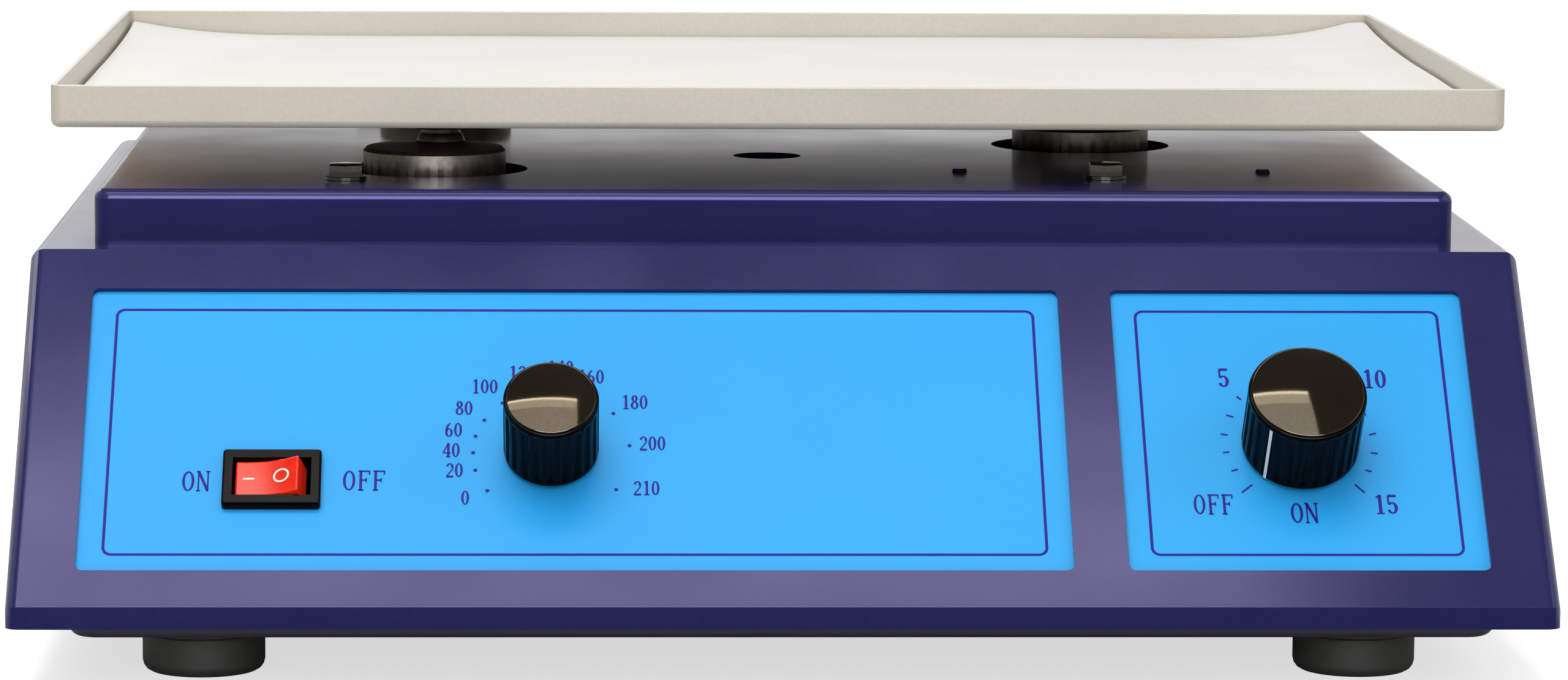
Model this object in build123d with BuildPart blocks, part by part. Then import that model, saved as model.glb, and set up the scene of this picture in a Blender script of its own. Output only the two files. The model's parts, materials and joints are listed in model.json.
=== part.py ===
"""Orbital shaker: a folded steel housing with a sloping control front, three eccentric
cranks that stand through its deck, and a shallow tray that they carry round in a circle.

Millimetres. X runs right, Y runs back, Z runs up. The origin is under the middle of the
whole object, on the plane that the feet stand on. The tray is at the back of its orbit.
"""
from build123d import *
from math import atan2, cos, degrees, radians, sin
import os

os.makedirs("parts", exist_ok=True)

# Clearances
seat_gap = 0.05        # a piece that sits in a hole of another piece
running_gap = 0.04     # radial, a shaft in its bearing
open_pivot_gap = 0.3   # radial, the two pins that only follow the tray
face_gap = 0.1         # between flat faces that turn against each other
belt_gap = 0.25        # belt to pulley

# Housing, one folded shell of sheet steel; depths are measured back from its front edge
body_width = 314.0
body_depth = 311.0
sheet = 1.2
skirt_bottom = 13.8
skirt_height = 4.6
panel_run = 67.4
panel_rise = 64.7
front_ledge = 6.8
side_ledge = 12.7
rear_ledge = 12.7
deck_rise = 11.9
shell_edge_radius = 3.0
deck_edge_radius = 2.2
riser_corner_radius = 3.5
side_lip = 30.0
end_lip = 15.0

# Windows in the sloping front: side to side, then up the slope from its foot
window_height = 73.5
window_foot = 9.3
window_radius = 1.6
window_left_margin = 13.7
window_right_margin = 13.5
window_gap = 11.1
speed_window_share = 0.73232    # of the width that the two windows have together
panel_thickness = 1.5
panel_margin = 5.0
stud_radius = 1.5
stud_inset = 2.6
stud_length = 6.0
panel_nut_across = 5.5
panel_nut_height = 2.4

# Base pan, feet and their fixings
pan_side_inset = 11.8
pan_end_inset = 8.0
pan_drop = 3.4
pan_edge_radius = 2.6
pan_corner_radius = 6.0
pan_screw_inset = 22.0
pan_screw_end_inset = 62.0
dimple_radius = 6.8
foot_radius = 12.6
foot_height = 10.4
foot_side_inset = 38.0
foot_end_inset = 33.0
foot_recess_radius = 5.6
foot_recess_depth = 5.0
foot_screw_radius = 2.4
foot_nut_across = 8.0
foot_nut_height = 4.0
foot_bevel_height = 2.0
foot_bevel_width = 1.6
foot_screw_head_radius = 4.6
foot_screw_head_height = 3.0
screw_tip = 1.0        # how far a screw stands through its nut

# Cranks: three equal eccentrics, two on the left and one on the right
orbit_radius = 10.0
orbit_phase = 83.4
crank_half_span = 73.4
crank_row_offset = -6.05        # from the deck's middle
crank_row_share = 0.26328       # half the left cranks' spacing, of the deck's depth
deck_hole_radius = 20.4
disc_radius = 15.6
disc_proud = 4.9
disc_thickness = 12.0
disc_edge = 0.8
shaft_radius = 6.0
pin_base_radius = 5.4
pin_neck_radius = 4.3
pin_flare_height = 2.4
pin_journal_radius = 4.0
clip_thickness = 0.9
clip_depth = 0.7
clip_reach = 2.0
shaft_tail = 1.6       # shaft below its clip
shaft_bevel = 0.6
pin_top_drop = 0.2     # pin end below the tray's floor
spacer_wall = 3.0

# Bearing housings that hold the crank shafts
bearing_radius = 14.0
bearing_height = 8.0
barrel_wall = 3.0
barrel_drop = 19.0
flange_radius = 25.0
flange_thickness = 5.0
flange_screw_circle_radius = 21.0
flange_bevel = 1.5
barrel_bevel = 1.0
barrel_root = 0.6
bearing_shoulder = 2.0
bearing_proud = 0.5
flange_head_radius = 3.2
flange_screw_tail = 2.0

# Drive plate and the pillars that hang it from the deck
pillar_length = 33.8
pillar_radius = 4.5
pillar_side_offset = -18.5
pillar_end_offset = 24.4
lone_pillar_side_offset = -1.0
lone_pillar_share = 0.34494     # of the deck's depth, from the right crank
plate_thickness = 3.0
plate_margin = 33.0
plate_end_margin = 10.0
plate_corner_radius = 10.0
deck_bolt_across = 7.0
deck_bolt_height = 2.6
deck_washer_radius = 4.5
deck_washer_thickness = 0.8
m4_radius = 2.0
m4_head_radius = 3.4
m4_head_height = 2.6
bolt_reach = 10.0      # thread in a pillar's end
deck_bolt_bevel = 0.4

# Motor and belt drive
motor_side = 0.5
motor_row_offset = -28.1
motor_radius = 28.0
motor_height = 36.0
motor_boss_radius = 9.0
motor_shaft_radius = 3.0
motor_screw_circle_radius = 17.0
motor_screws_around = 4
motor_base = 6.0       # closed end of the can
motor_step = 3.0       # depth of the spindle's seat in it
motor_end_bell = 7.0
motor_cavity_radius = 20.5
armature_radius = 20.0
armature_height = 19.0
motor_bevel = 3.0
motor_screw_reach = 5.0
motor_screw_hole = 5.6
motor_shaft_proud = 1.1
m3_radius = 1.5
m3_head_radius = 2.7
m3_head_height = 1.8
access_hole_radius = 7.6
pulley_height = 12.8
pulley_rim_height = 10.0
pulley_flange = 1.0
crank_drum_radius = 21.0
motor_drum_radius = 7.0
flange_lip = 2.6
pulley_hub_radius = 12.0
motor_hub_radius = 6.5
belt_thickness = 1.6

# Brace riveted under the deck in front of the right crank
brace_length = 80.0
brace_leg = 14.0
brace_thickness = 1.5
brace_gap = 4.6        # behind the front right pillar
brace_side_offset = 1.7
rivet_end_inset = 6.6
rivet_inset = 6.5
rivet_radius = 1.2
rivet_head_radius = 1.7
rivet_head_height = 0.6
rivet_head_taper = 30
brace_corner_radius = 2.0
brace_end_step = 2.0   # the upright leg is this much shorter at each end

# Tray, its mat and the bearings under it
tray_width = 310.0
tray_depth = 220.0
tray_height = 9.1
tray_sheet = 1.2
tray_clearance = 12.35
tray_row_offset = 1.3
tray_corner_radius = 2.5
tray_fold_radius = 1.6
mat_thickness = 1.85
mat_margin = 1.0
pin_bearing_radius = 7.0
pin_bearing_height = 3.5
cup_wall = 2.5
cup_lip = 0.35
cup_flange_radius = 15.0
cup_flange_thickness = 1.2
cup_mouth_gap = 0.8    # round the pin's neck
cup_hole_margin = 0.5

# Rocker switch
switch_inset = 38.85    # from the left edge of its window
switch_up = 32.7
bezel_width = 20.1
bezel_height = 14.3
bezel_thickness = 2.0
switch_hole_width = 19.2
switch_hole_height = 13.0
switch_body_depth = 14.0
rocker_half_length = 6.9
rocker_width = 9.0
rocker_end_rise = 2.2
rocker_dip = 0.9
rocker_tilt = 10.0
rocker_pivot_drop = 3.5
rocker_sweep_gap = 1.1
rocker_side_gap = 0.3
rocker_hub_radius = 4.6
rocker_pin_radius = 1.0
blade_width = 4.8
blade_thickness = 0.8
blade_length = 7.0
bezel_corner_radius = 0.8
bezel_bevel = 0.4
rocker_well_spare = 0.6
pivot_wall = 0.4       # plastic left outside the pivot holes
pivot_end_gap = 0.2

# Speed knob and its potentiometer
speed_offset = -5.15    # from the middle of its window
speed_up = 40.5
speed_knob_radius = 9.75
speed_flutes = 22
pot_radius = 12.0
pot_depth = 9.0
pot_bush_radius = 3.5
pot_nut_across = 10.0
pot_tag_width = 16.0
pot_tag_reach = 6.0
pot_tag_thickness = 1.2

# Timer knob and the mechanical timer
timer_offset = 0.3
timer_up = 42.3
timer_knob_radius = 12.15
timer_flutes = 28
timer_body_width = 44.0
timer_body_height = 36.0
timer_body_depth = 22.0
timer_bush_radius = 4.0
timer_nut_across = 12.0
timer_corner_radius = 3.0

# Both knobs
knob_height = 18.0
knob_stand_off = 0.8
knob_cavity_depth = 5.4
knob_wall = 2.1
knob_cap_rim = 0.6
knob_cap_thickness = 0.8
knob_cap_proud = 0.4
knob_collar = 1.8
knob_shoulder = 1.3
flute_radius = 0.85
flute_depth = 0.45
spindle_radius = 3.0
spindle_flat = 1.5
spindle_length = 14.0
bush_length = 5.6
panel_nut_thickness = 2.0
bush_step = 1.0        # bush end below its full length
spindle_run = 6.0      # spindle behind the panel
spindle_end_gap = 0.3
knob_top_radius = 0.35
knob_cap_bevel = 0.3

# Mains inlet with its fuse drawer in the rear wall
inlet_side_inset = 61.0
inlet_up = 47.0
inlet_flange = 2.5
inlet_width = 50.0
inlet_height = 33.0
inlet_screw_half_span = 20.0
inlet_body_width = 27.4
inlet_body_height = 28.0
inlet_body_depth = 20.0
socket_rise = 4.2
socket_width = 24.6
socket_height = 17.4
socket_depth = 16.0
socket_bevel = 4.0
contact_width = 2.0
contact_height = 4.0
contact_length = 13.5
contact_half_span = 7.0
contact_offset = 2.0
drawer_drop = 10.2
drawer_width = 22.0
drawer_height = 6.4
drawer_grip_depth = 1.5
drawer_grip_height = 1.2
inlet_corner_radius = 3.0
inlet_nut_height = 2.4
contact_bevel = 0.5

# Control board on the floor of the pan
board_side_inset = 72.0
board_rear_inset = 75.0
board_width = 80.0
board_length = 56.0
board_thickness = 1.6
standoff_height = 8.0
standoff_radius = 3.0
board_hole_inset = 4.5
heatsink_height = 22.0
heatsink_fins = 6
capacitor_radius = 8.0
capacitor_height = 20.0
board_corner_radius = 1.5
heatsink_width = 30.0
heatsink_depth = 14.0
heatsink_web = 2.5
heatsink_fin = 1.2
terminal_depth = 9.0
terminal_height = 11.0
chip_width = 12.0
chip_depth = 9.0
chip_height = 6.0

# Places worked out from the sizes above
front_edge = -(body_depth + inlet_flange + m3_head_height) / 2
rear_edge = front_edge + body_depth
panel_foot = skirt_bottom + skirt_height
ledge_top = panel_foot + panel_rise
deck_top = ledge_top + deck_rise
deck_under = deck_top - sheet
deck_front = front_edge + panel_run + front_ledge
deck_rear = rear_edge - rear_ledge
deck_depth = deck_rear - deck_front
crank_row = (deck_front + deck_rear) / 2 + crank_row_offset
crank_row_half_gap = crank_row_share * deck_depth
lone_pillar_end_offset = lone_pillar_share * deck_depth
windows_width = body_width - window_left_margin - window_gap - window_right_margin
speed_window_left = -body_width / 2 + window_left_margin
speed_window_width = speed_window_share * windows_width
timer_window_left = speed_window_left + speed_window_width + window_gap
timer_window_width = windows_width - speed_window_width
switch_side = speed_window_left + switch_inset
speed_side = speed_window_left + speed_window_width / 2 + speed_offset
timer_side = timer_window_left + timer_window_width / 2 + timer_offset
slope_angle = degrees(atan2(panel_rise, panel_run))
slope_out = (0, -sin(radians(slope_angle)), cos(radians(slope_angle)))
slope_plane = Plane(origin=(0, front_edge, panel_foot), x_dir=(1, 0, 0), z_dir=slope_out)
panel_plane = slope_plane.offset(-sheet)
panel_back = panel_plane.offset(-panel_thickness)
window_middle = window_foot + window_height / 2
windows = {
    "speed_panel": (speed_window_left + speed_window_width / 2, speed_window_width),
    "timer_panel": (timer_window_left + timer_window_width / 2, timer_window_width),
}

crank_centres = {
    "a": (-crank_half_span, crank_row - crank_row_half_gap),
    "b": (crank_half_span, crank_row),
    "c": (-crank_half_span, crank_row + crank_row_half_gap),
}
orbit_offset = (
    orbit_radius * cos(radians(orbit_phase)),
    orbit_radius * sin(radians(orbit_phase)),
)
pillar_places = [
    (-crank_half_span + pillar_side_offset, crank_centres["a"][1] - pillar_end_offset),
    (-crank_half_span + pillar_side_offset, crank_centres["c"][1] + pillar_end_offset),
    (crank_half_span + lone_pillar_side_offset, crank_centres["b"][1] - lone_pillar_end_offset),
    (crank_half_span + lone_pillar_side_offset, crank_centres["b"][1] + lone_pillar_end_offset),
]
pillar_turn = degrees(atan2(pillar_end_offset, pillar_side_offset))
motor_centre = (motor_side, crank_row + motor_row_offset)
brace_centre = crank_half_span + brace_side_offset
brace_front = pillar_places[2][1] + pillar_radius + brace_gap
rivet_places = [
    (brace_centre + side * (brace_length / 2 - rivet_end_inset), brace_front + rivet_inset)
    for side in (-1, 1)
]

disc_top = deck_top + disc_proud
disc_bottom = disc_top - disc_thickness
upper_bearing_top = disc_bottom - pulley_height - face_gap
plate_top = deck_under - pillar_length
plate_bottom = plate_top - plate_thickness
barrel_bottom = plate_top - barrel_drop
barrel_radius = bearing_radius + barrel_wall
tray_bottom = deck_top + tray_clearance
tray_floor = tray_bottom + tray_sheet
tray_centre = (orbit_offset[0], crank_row + tray_row_offset + orbit_offset[1])
pin_bearing_top = tray_bottom - face_gap
pin_bearing_bottom = pin_bearing_top - pin_bearing_height

pan_top = skirt_bottom
pan_bottom = pan_top - pan_drop
pan_floor = pan_bottom + sheet
body_middle = (front_edge + rear_edge) / 2
pan_width = body_width - 2 * pan_side_inset
pan_depth = body_depth - 2 * pan_end_inset
pan_screw_places = [
    (side * (body_width / 2 - pan_screw_inset), body_middle + row * (body_depth / 2 - pan_screw_end_inset))
    for side in (-1, 1)
    for row in (-1, 0, 1)
]
foot_places = [
    (side * (body_width / 2 - foot_side_inset), body_middle + end * (body_depth / 2 - foot_end_inset))
    for side in (-1, 1)
    for end in (-1, 1)
]
board_centre = (body_width / 2 - board_side_inset, rear_edge - board_rear_inset)
inlet_place = (-body_width / 2 + inlet_side_inset, rear_edge, inlet_up)
inlet_plane = Plane(origin=inlet_place, x_dir=(-1, 0, 0), z_dir=(0, 1, 0))


def housing_form(inset):
    """The housing's outer form, or with an inset the hollow that leaves a wall that thick."""
    with BuildPart() as form:
        with BuildSketch(Plane.YZ):
            with BuildLine():
                Polyline(
                    (front_edge, skirt_bottom),
                    (front_edge, panel_foot),
                    (front_edge + panel_run, ledge_top),
                    (rear_edge, ledge_top),
                    (rear_edge, skirt_bottom),
                    close=True,
                )
            make_face()
            if inset > 0:
                offset(amount=-inset, kind=Kind.INTERSECTION)
        extrude(amount=body_width / 2 - inset, both=True)
        side_edges = form.edges().filter_by(Axis.X, reverse=True)
        long_edges = side_edges.group_by(Axis.Z)[1:]
        fillet([edge for level in long_edges for edge in level], shell_edge_radius - inset)
        with BuildSketch(Plane.XY.offset(ledge_top - 2 * sheet)):
            with Locations((0, (deck_front + deck_rear) / 2)):
                RectangleRounded(
                    body_width - 2 * side_ledge - 2 * inset,
                    deck_rear - deck_front - 2 * inset,
                    riser_corner_radius - inset,
                )
        extrude(amount=deck_rise + 2 * sheet - inset)
        deck_rim = form.faces().sort_by(Axis.Z)[-1].edges()
        fillet(deck_rim, deck_edge_radius - inset)
    return form


def on_slope(side, up, plane=slope_plane):
    """A plane on the sloping front, moved to a place side to side and up the slope."""
    return Plane(origin=plane.from_local_coords((side, up, 0)), x_dir=plane.x_dir, z_dir=plane.z_dir)


def stud_places(middle, width):
    """Weld studs at the corners and the middles of a window's long edges."""
    columns = [-1, 1] if width < speed_window_width / 2 else [-1, 0, 1]
    return [
        (middle + column * (width / 2 + stud_inset), window_middle + row * (window_height / 2 + stud_inset))
        for column in columns
        for row in (-1, 1)
    ]


def screws(plane, places, head_radius, head_height, shank_radius, shank_length, nut=None):
    """Pan-head screws whose heads stand on the plane and whose shanks go in behind it.

    A nut is given by its width across the flats, its height and how deep its near face lies.
    """
    with BuildPart() as group:
        with BuildSketch(plane):
            with Locations(*places):
                Circle(head_radius)
        extrude(amount=head_height)
        fillet(group.faces().sort_by(Axis(plane.origin, plane.z_dir))[-len(places):].edges(), head_height / 3)
        with BuildSketch(plane):
            with Locations(*places):
                Circle(shank_radius)
        extrude(amount=-shank_length)
        if nut:
            across, height, depth = nut
            with BuildSketch(plane.offset(-depth)):
                with Locations(*places):
                    RegularPolygon(across / 2, 6, major_radius=False)
                    Circle(shank_radius + seat_gap, mode=Mode.SUBTRACT)
            extrude(amount=-height)
    return group


# Housing
outer_form = housing_form(0)
hollow_form = housing_form(sheet)
with BuildPart() as housing:
    add(outer_form.part)
    add(hollow_form.part, mode=Mode.SUBTRACT)
    with BuildSketch(Plane.XY.offset(skirt_bottom)):
        with Locations((0, body_middle)):
            Rectangle(body_width - 2 * side_lip, body_depth - 2 * end_lip)
        with Locations(*pan_screw_places):
            Circle(m4_radius)
    extrude(amount=sheet, mode=Mode.SUBTRACT)
    with BuildSketch(slope_plane):
        for middle, width in windows.values():
            with Locations((middle, window_middle)):
                RectangleRounded(width, window_height, window_radius)
    extrude(amount=-2 * sheet, mode=Mode.SUBTRACT)
    with BuildSketch(Plane.XY.offset(deck_top)):
        with Locations(*crank_centres.values()):
            Circle(deck_hole_radius)
        with Locations(motor_centre):
            Circle(access_hole_radius)
        with Locations(*pillar_places):
            Circle(m4_radius + seat_gap)
        with Locations(*rivet_places):
            Circle(rivet_radius + seat_gap)
    extrude(amount=-2 * sheet, mode=Mode.SUBTRACT)
    with BuildSketch(inlet_plane):
        Rectangle(inlet_body_width + 2 * seat_gap, inlet_body_height + 2 * seat_gap)
        with GridLocations(2 * inlet_screw_half_span, 0, 2, 1):
            Circle(m3_radius + seat_gap)
    extrude(amount=-2 * sheet, mode=Mode.SUBTRACT)
    with BuildSketch(panel_plane):
        for middle, width in windows.values():
            with Locations(*stud_places(middle, width)):
                Circle(stud_radius)
    extrude(amount=-stud_length)
housing.part.label = "housing"
export_step(housing.part, "parts/housing.step")

# Blue front panels behind the windows
panel_openings = {
    "speed_panel": [(speed_side, speed_up, pot_bush_radius)],
    "timer_panel": [(timer_side, timer_up, timer_bush_radius)],
}
for name, (middle, width) in windows.items():
    with BuildPart() as panel:
        with BuildSketch(panel_plane):
            with Locations((middle, window_middle)):
                RectangleRounded(
                    width + 2 * panel_margin, window_height + 2 * panel_margin, window_radius
                )
            with Locations(*stud_places(middle, width)):
                Circle(stud_radius + seat_gap, mode=Mode.SUBTRACT)
            for side, up, radius in panel_openings[name]:
                with Locations((side, up)):
                    Circle(radius + seat_gap, mode=Mode.SUBTRACT)
            if name == "speed_panel":
                with Locations((switch_side, switch_up)):
                    Rectangle(
                        switch_hole_width + 2 * seat_gap,
                        switch_hole_height + 2 * seat_gap,
                        mode=Mode.SUBTRACT,
                    )
        extrude(amount=-panel_thickness)
    panel.part.label = name
    export_step(panel.part, f"parts/{name}.step")

# Nuts on the weld studs, pressing the panels against the back of the front
with BuildPart() as panel_nuts:
    with BuildSketch(panel_back):
        for middle, width in windows.values():
            with Locations(*stud_places(middle, width)):
                RegularPolygon(panel_nut_across / 2, 6, major_radius=False)
                Circle(stud_radius + seat_gap, mode=Mode.SUBTRACT)
    extrude(amount=-panel_nut_height)
panel_nuts.part.label = "panel_nuts"
export_step(panel_nuts.part, "parts/panel_nuts.step")

# Base pan: a shallow dish whose rim meets the housing's lip, dimpled up at its screws
with BuildPart() as base_pan:
    with BuildSketch(Plane.XY.offset(pan_bottom)):
        with Locations((0, body_middle)):
            RectangleRounded(pan_width, pan_depth, pan_corner_radius)
    extrude(amount=pan_drop)
    fillet(base_pan.faces().sort_by(Axis.Z)[0].edges(), pan_edge_radius)
    with BuildSketch(Plane.XY.offset(pan_floor)):
        with Locations((0, body_middle)):
            RectangleRounded(pan_width - 2 * sheet, pan_depth - 2 * sheet, pan_corner_radius - sheet)
    extrude(amount=pan_drop, mode=Mode.SUBTRACT)
    with BuildSketch(Plane.XY.offset(pan_bottom)):
        with Locations(*pan_screw_places):
            Circle(dimple_radius)
    extrude(amount=pan_drop)
    with BuildSketch(Plane.XY.offset(pan_bottom)):
        with Locations(*pan_screw_places):
            Circle(dimple_radius - sheet)
    extrude(amount=pan_drop - sheet, mode=Mode.SUBTRACT)
    with BuildSketch(Plane.XY.offset(pan_bottom)):
        with Locations(*pan_screw_places):
            Circle(m4_radius + seat_gap)
        with Locations(*foot_places):
            Circle(foot_screw_radius + seat_gap)
    extrude(amount=pan_drop, mode=Mode.SUBTRACT)
base_pan.part.label = "base_pan"
export_step(base_pan.part, "parts/base_pan.step")

pan_screws = screws(
    Plane(origin=(0, 0, pan_top - sheet), x_dir=(1, 0, 0), z_dir=(0, 0, -1)),
    [(x, -y) for x, y in pan_screw_places],
    m4_head_radius,
    pan_drop - sheet - face_gap,
    m4_radius - seat_gap,
    3 * sheet,
)
pan_screws.part.label = "pan_screws"
export_step(pan_screws.part, "parts/pan_screws.step")

# Rubber feet, each held by a screw in its recess and a nut inside the pan
with BuildPart() as rubber_feet:
    for x, y in foot_places:
        with BuildSketch(Plane(origin=(x, y, 0), x_dir=(1, 0, 0), z_dir=(0, -1, 0))):
            with BuildLine():
                Polyline(
                    (foot_screw_radius + seat_gap, foot_recess_depth),
                    (foot_screw_radius + seat_gap, foot_height),
                    (foot_radius, foot_height),
                    (foot_radius, foot_bevel_height),
                    (foot_radius - foot_bevel_width, 0),
                    (foot_recess_radius, 0),
                    (foot_recess_radius, foot_recess_depth),
                    close=True,
                )
            make_face()
        revolve(axis=Axis((x, y, 0), (0, 0, 1)))
rubber_feet.part.label = "rubber_feet"
export_step(rubber_feet.part, "parts/rubber_feet.step")

foot_screws = screws(
    Plane(origin=(0, 0, foot_recess_depth), x_dir=(1, 0, 0), z_dir=(0, 0, -1)),
    [(x, -y) for x, y in foot_places],
    foot_screw_head_radius,
    foot_screw_head_height,
    foot_screw_radius,
    pan_floor + foot_nut_height + screw_tip - foot_recess_depth,
    (foot_nut_across, foot_nut_height, pan_floor - foot_recess_depth),
)
foot_screws.part.label = "foot_screws"
export_step(foot_screws.part, "parts/foot_screws.step")

# Pillars, the deck bolts with washers above and the plate screws below
with BuildPart() as deck_pillars:
    with BuildSketch(Plane.XY.offset(plate_top)):
        with Locations(*pillar_places):
            Circle(pillar_radius)
            Circle(m4_radius + seat_gap, mode=Mode.SUBTRACT)
    extrude(amount=pillar_length)
deck_pillars.part.label = "deck_pillars"
export_step(deck_pillars.part, "parts/deck_pillars.step")

with BuildPart() as deck_washers:
    with BuildSketch(Plane.XY.offset(deck_top)):
        with Locations(*pillar_places):
            Circle(deck_washer_radius)
            Circle(m4_radius + seat_gap, mode=Mode.SUBTRACT)
    extrude(amount=deck_washer_thickness)
deck_washers.part.label = "deck_washers"
export_step(deck_washers.part, "parts/deck_washers.step")

with BuildPart() as deck_bolts:
    with BuildSketch(Plane.XY.offset(deck_top + deck_washer_thickness)):
        with Locations(*pillar_places):
            RegularPolygon(deck_bolt_across / 2, 6, major_radius=False)
    extrude(amount=deck_bolt_height)
    chamfer(deck_bolts.faces().group_by(Axis.Z)[-1].edges(), deck_bolt_bevel)
    with BuildSketch(Plane.XY.offset(deck_top + deck_washer_thickness)):
        with Locations(*pillar_places):
            Circle(m4_radius)
    extrude(amount=-(deck_washer_thickness + sheet + bolt_reach))
deck_bolts.part.label = "deck_bolts"
export_step(deck_bolts.part, "parts/deck_bolts.step")

plate_screws = screws(
    Plane(origin=(0, 0, plate_bottom), x_dir=(1, 0, 0), z_dir=(0, 0, -1)),
    [(x, -y) for x, y in pillar_places],
    m4_head_radius,
    m4_head_height,
    m4_radius,
    plate_thickness + bolt_reach,
)
plate_screws.part.label = "plate_screws"
export_step(plate_screws.part, "parts/plate_screws.step")

# Brace under the deck
with BuildPart() as deck_brace:
    with BuildSketch(Plane.XY.offset(deck_under)):
        with Locations((brace_centre, brace_front + brace_leg / 2)):
            RectangleRounded(brace_length, brace_leg, brace_corner_radius)
        with Locations(*rivet_places):
            Circle(rivet_radius + seat_gap, mode=Mode.SUBTRACT)
    extrude(amount=-brace_thickness)
    with BuildSketch(Plane.XZ.offset(-(brace_front + brace_leg))):
        with Locations((brace_centre, deck_under - brace_leg / 2)):
            Rectangle(brace_length - 2 * brace_end_step, brace_leg)
    extrude(amount=brace_thickness)
deck_brace.part.label = "deck_brace"
export_step(deck_brace.part, "parts/deck_brace.step")

with BuildPart() as brace_rivets:
    with BuildSketch(Plane.XY.offset(deck_top)):
        with Locations(*rivet_places):
            Circle(rivet_head_radius)
    extrude(amount=rivet_head_height, taper=rivet_head_taper)
    with BuildSketch(Plane.XY.offset(deck_top)):
        with Locations(*rivet_places):
            Circle(rivet_radius)
    extrude(amount=-(sheet + brace_thickness))
    with BuildSketch(Plane.XY.offset(deck_under - brace_thickness)):
        with Locations(*rivet_places):
            Circle(rivet_head_radius)
    extrude(amount=-rivet_head_height)
brace_rivets.part.label = "brace_rivets"
export_step(brace_rivets.part, "parts/brace_rivets.step")

# Drive plate
plate_front = pillar_places[0][1] - plate_end_margin
plate_rear = pillar_places[1][1] + plate_end_margin
flange_turns = {"a": -pillar_turn + 60, "b": 90, "c": pillar_turn - 60}
with BuildPart() as drive_plate:
    with BuildSketch(Plane.XY.offset(plate_bottom)):
        with Locations((0, (plate_front + plate_rear) / 2)):
            RectangleRounded(
                2 * (crank_half_span + plate_margin), plate_rear - plate_front, plate_corner_radius
            )
        with Locations(*crank_centres.values()):
            Circle(barrel_radius + seat_gap, mode=Mode.SUBTRACT)
        for letter, centre in crank_centres.items():
            with Locations(centre):
                with PolarLocations(flange_screw_circle_radius, 3, start_angle=flange_turns[letter]):
                    Circle(m4_radius + seat_gap, mode=Mode.SUBTRACT)
        with Locations(*pillar_places):
            Circle(m4_radius + seat_gap, mode=Mode.SUBTRACT)
        with Locations(motor_centre):
            Circle(motor_boss_radius + seat_gap, mode=Mode.SUBTRACT)
            with PolarLocations(motor_screw_circle_radius, motor_screws_around, start_angle=45):
                Circle(m3_radius + seat_gap, mode=Mode.SUBTRACT)
    extrude(amount=plate_thickness)
drive_plate.part.label = "drive_plate"
export_step(drive_plate.part, "parts/drive_plate.step")

# Bearing housings, their bearings and flange screws, one set under each crank
barrel_top = upper_bearing_top - bearing_proud
for letter, (x, y) in crank_centres.items():
    radial_plane = Plane(origin=(x, y, 0), x_dir=(1, 0, 0), z_dir=(0, -1, 0))
    crank_axis = Axis((x, y, 0), (0, 0, 1))
    with BuildPart() as bearing_housing:
        with BuildSketch(radial_plane):
            with BuildLine():
                Polyline(
                    (bearing_radius + seat_gap, barrel_bottom),
                    (barrel_radius, barrel_bottom),
                    (barrel_radius, plate_top),
                    (flange_radius, plate_top),
                    (flange_radius, plate_top + flange_thickness - flange_bevel),
                    (flange_radius - flange_bevel, plate_top + flange_thickness),
                    (barrel_radius + barrel_root, plate_top + flange_thickness),
                    (barrel_radius, plate_top + flange_thickness + barrel_root),
                    (barrel_radius, barrel_top - barrel_bevel),
                    (barrel_radius - barrel_bevel, barrel_top),
                    (bearing_radius + seat_gap, barrel_top),
                    (bearing_radius + seat_gap, upper_bearing_top - bearing_height),
                    (bearing_radius - bearing_shoulder, upper_bearing_top - bearing_height),
                    (bearing_radius - bearing_shoulder, barrel_bottom + bearing_height),
                    (bearing_radius + seat_gap, barrel_bottom + bearing_height),
                    close=True,
                )
            make_face()
        revolve(axis=crank_axis)
        with BuildSketch(Plane.XY.offset(plate_top)):
            with Locations((x, y)):
                with PolarLocations(flange_screw_circle_radius, 3, start_angle=flange_turns[letter]):
                    Circle(m4_radius + seat_gap)
        extrude(amount=flange_thickness, mode=Mode.SUBTRACT)
    bearing_housing.part.label = f"bearing_housing_{letter}"
    export_step(bearing_housing.part, f"parts/bearing_housing_{letter}.step")

    with BuildPart() as bearings:
        for bottom in (barrel_bottom, upper_bearing_top - bearing_height):
            with BuildSketch(Plane.XY.offset(bottom)):
                with Locations((x, y)):
                    Circle(bearing_radius)
                    Circle(shaft_radius, mode=Mode.SUBTRACT)
            extrude(amount=bearing_height)
    bearings.part.label = f"shaft_bearings_{letter}"
    export_step(bearings.part, f"parts/shaft_bearings_{letter}.step")

with BuildPart() as flange_screws:
    for letter, centre in crank_centres.items():
        with BuildSketch(Plane.XY.offset(plate_top + flange_thickness)):
            with Locations(centre):
                with PolarLocations(flange_screw_circle_radius, 3, start_angle=flange_turns[letter]):
                    Circle(flange_head_radius)
        extrude(amount=m4_head_height)
        with BuildSketch(Plane.XY.offset(plate_top + flange_thickness)):
            with Locations(centre):
                with PolarLocations(flange_screw_circle_radius, 3, start_angle=flange_turns[letter]):
                    Circle(m4_radius)
        extrude(amount=-(flange_thickness + plate_thickness + flange_screw_tail))
flange_screws.part.label = "flange_screws"
export_step(flange_screws.part, "parts/flange_screws.step")

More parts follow.
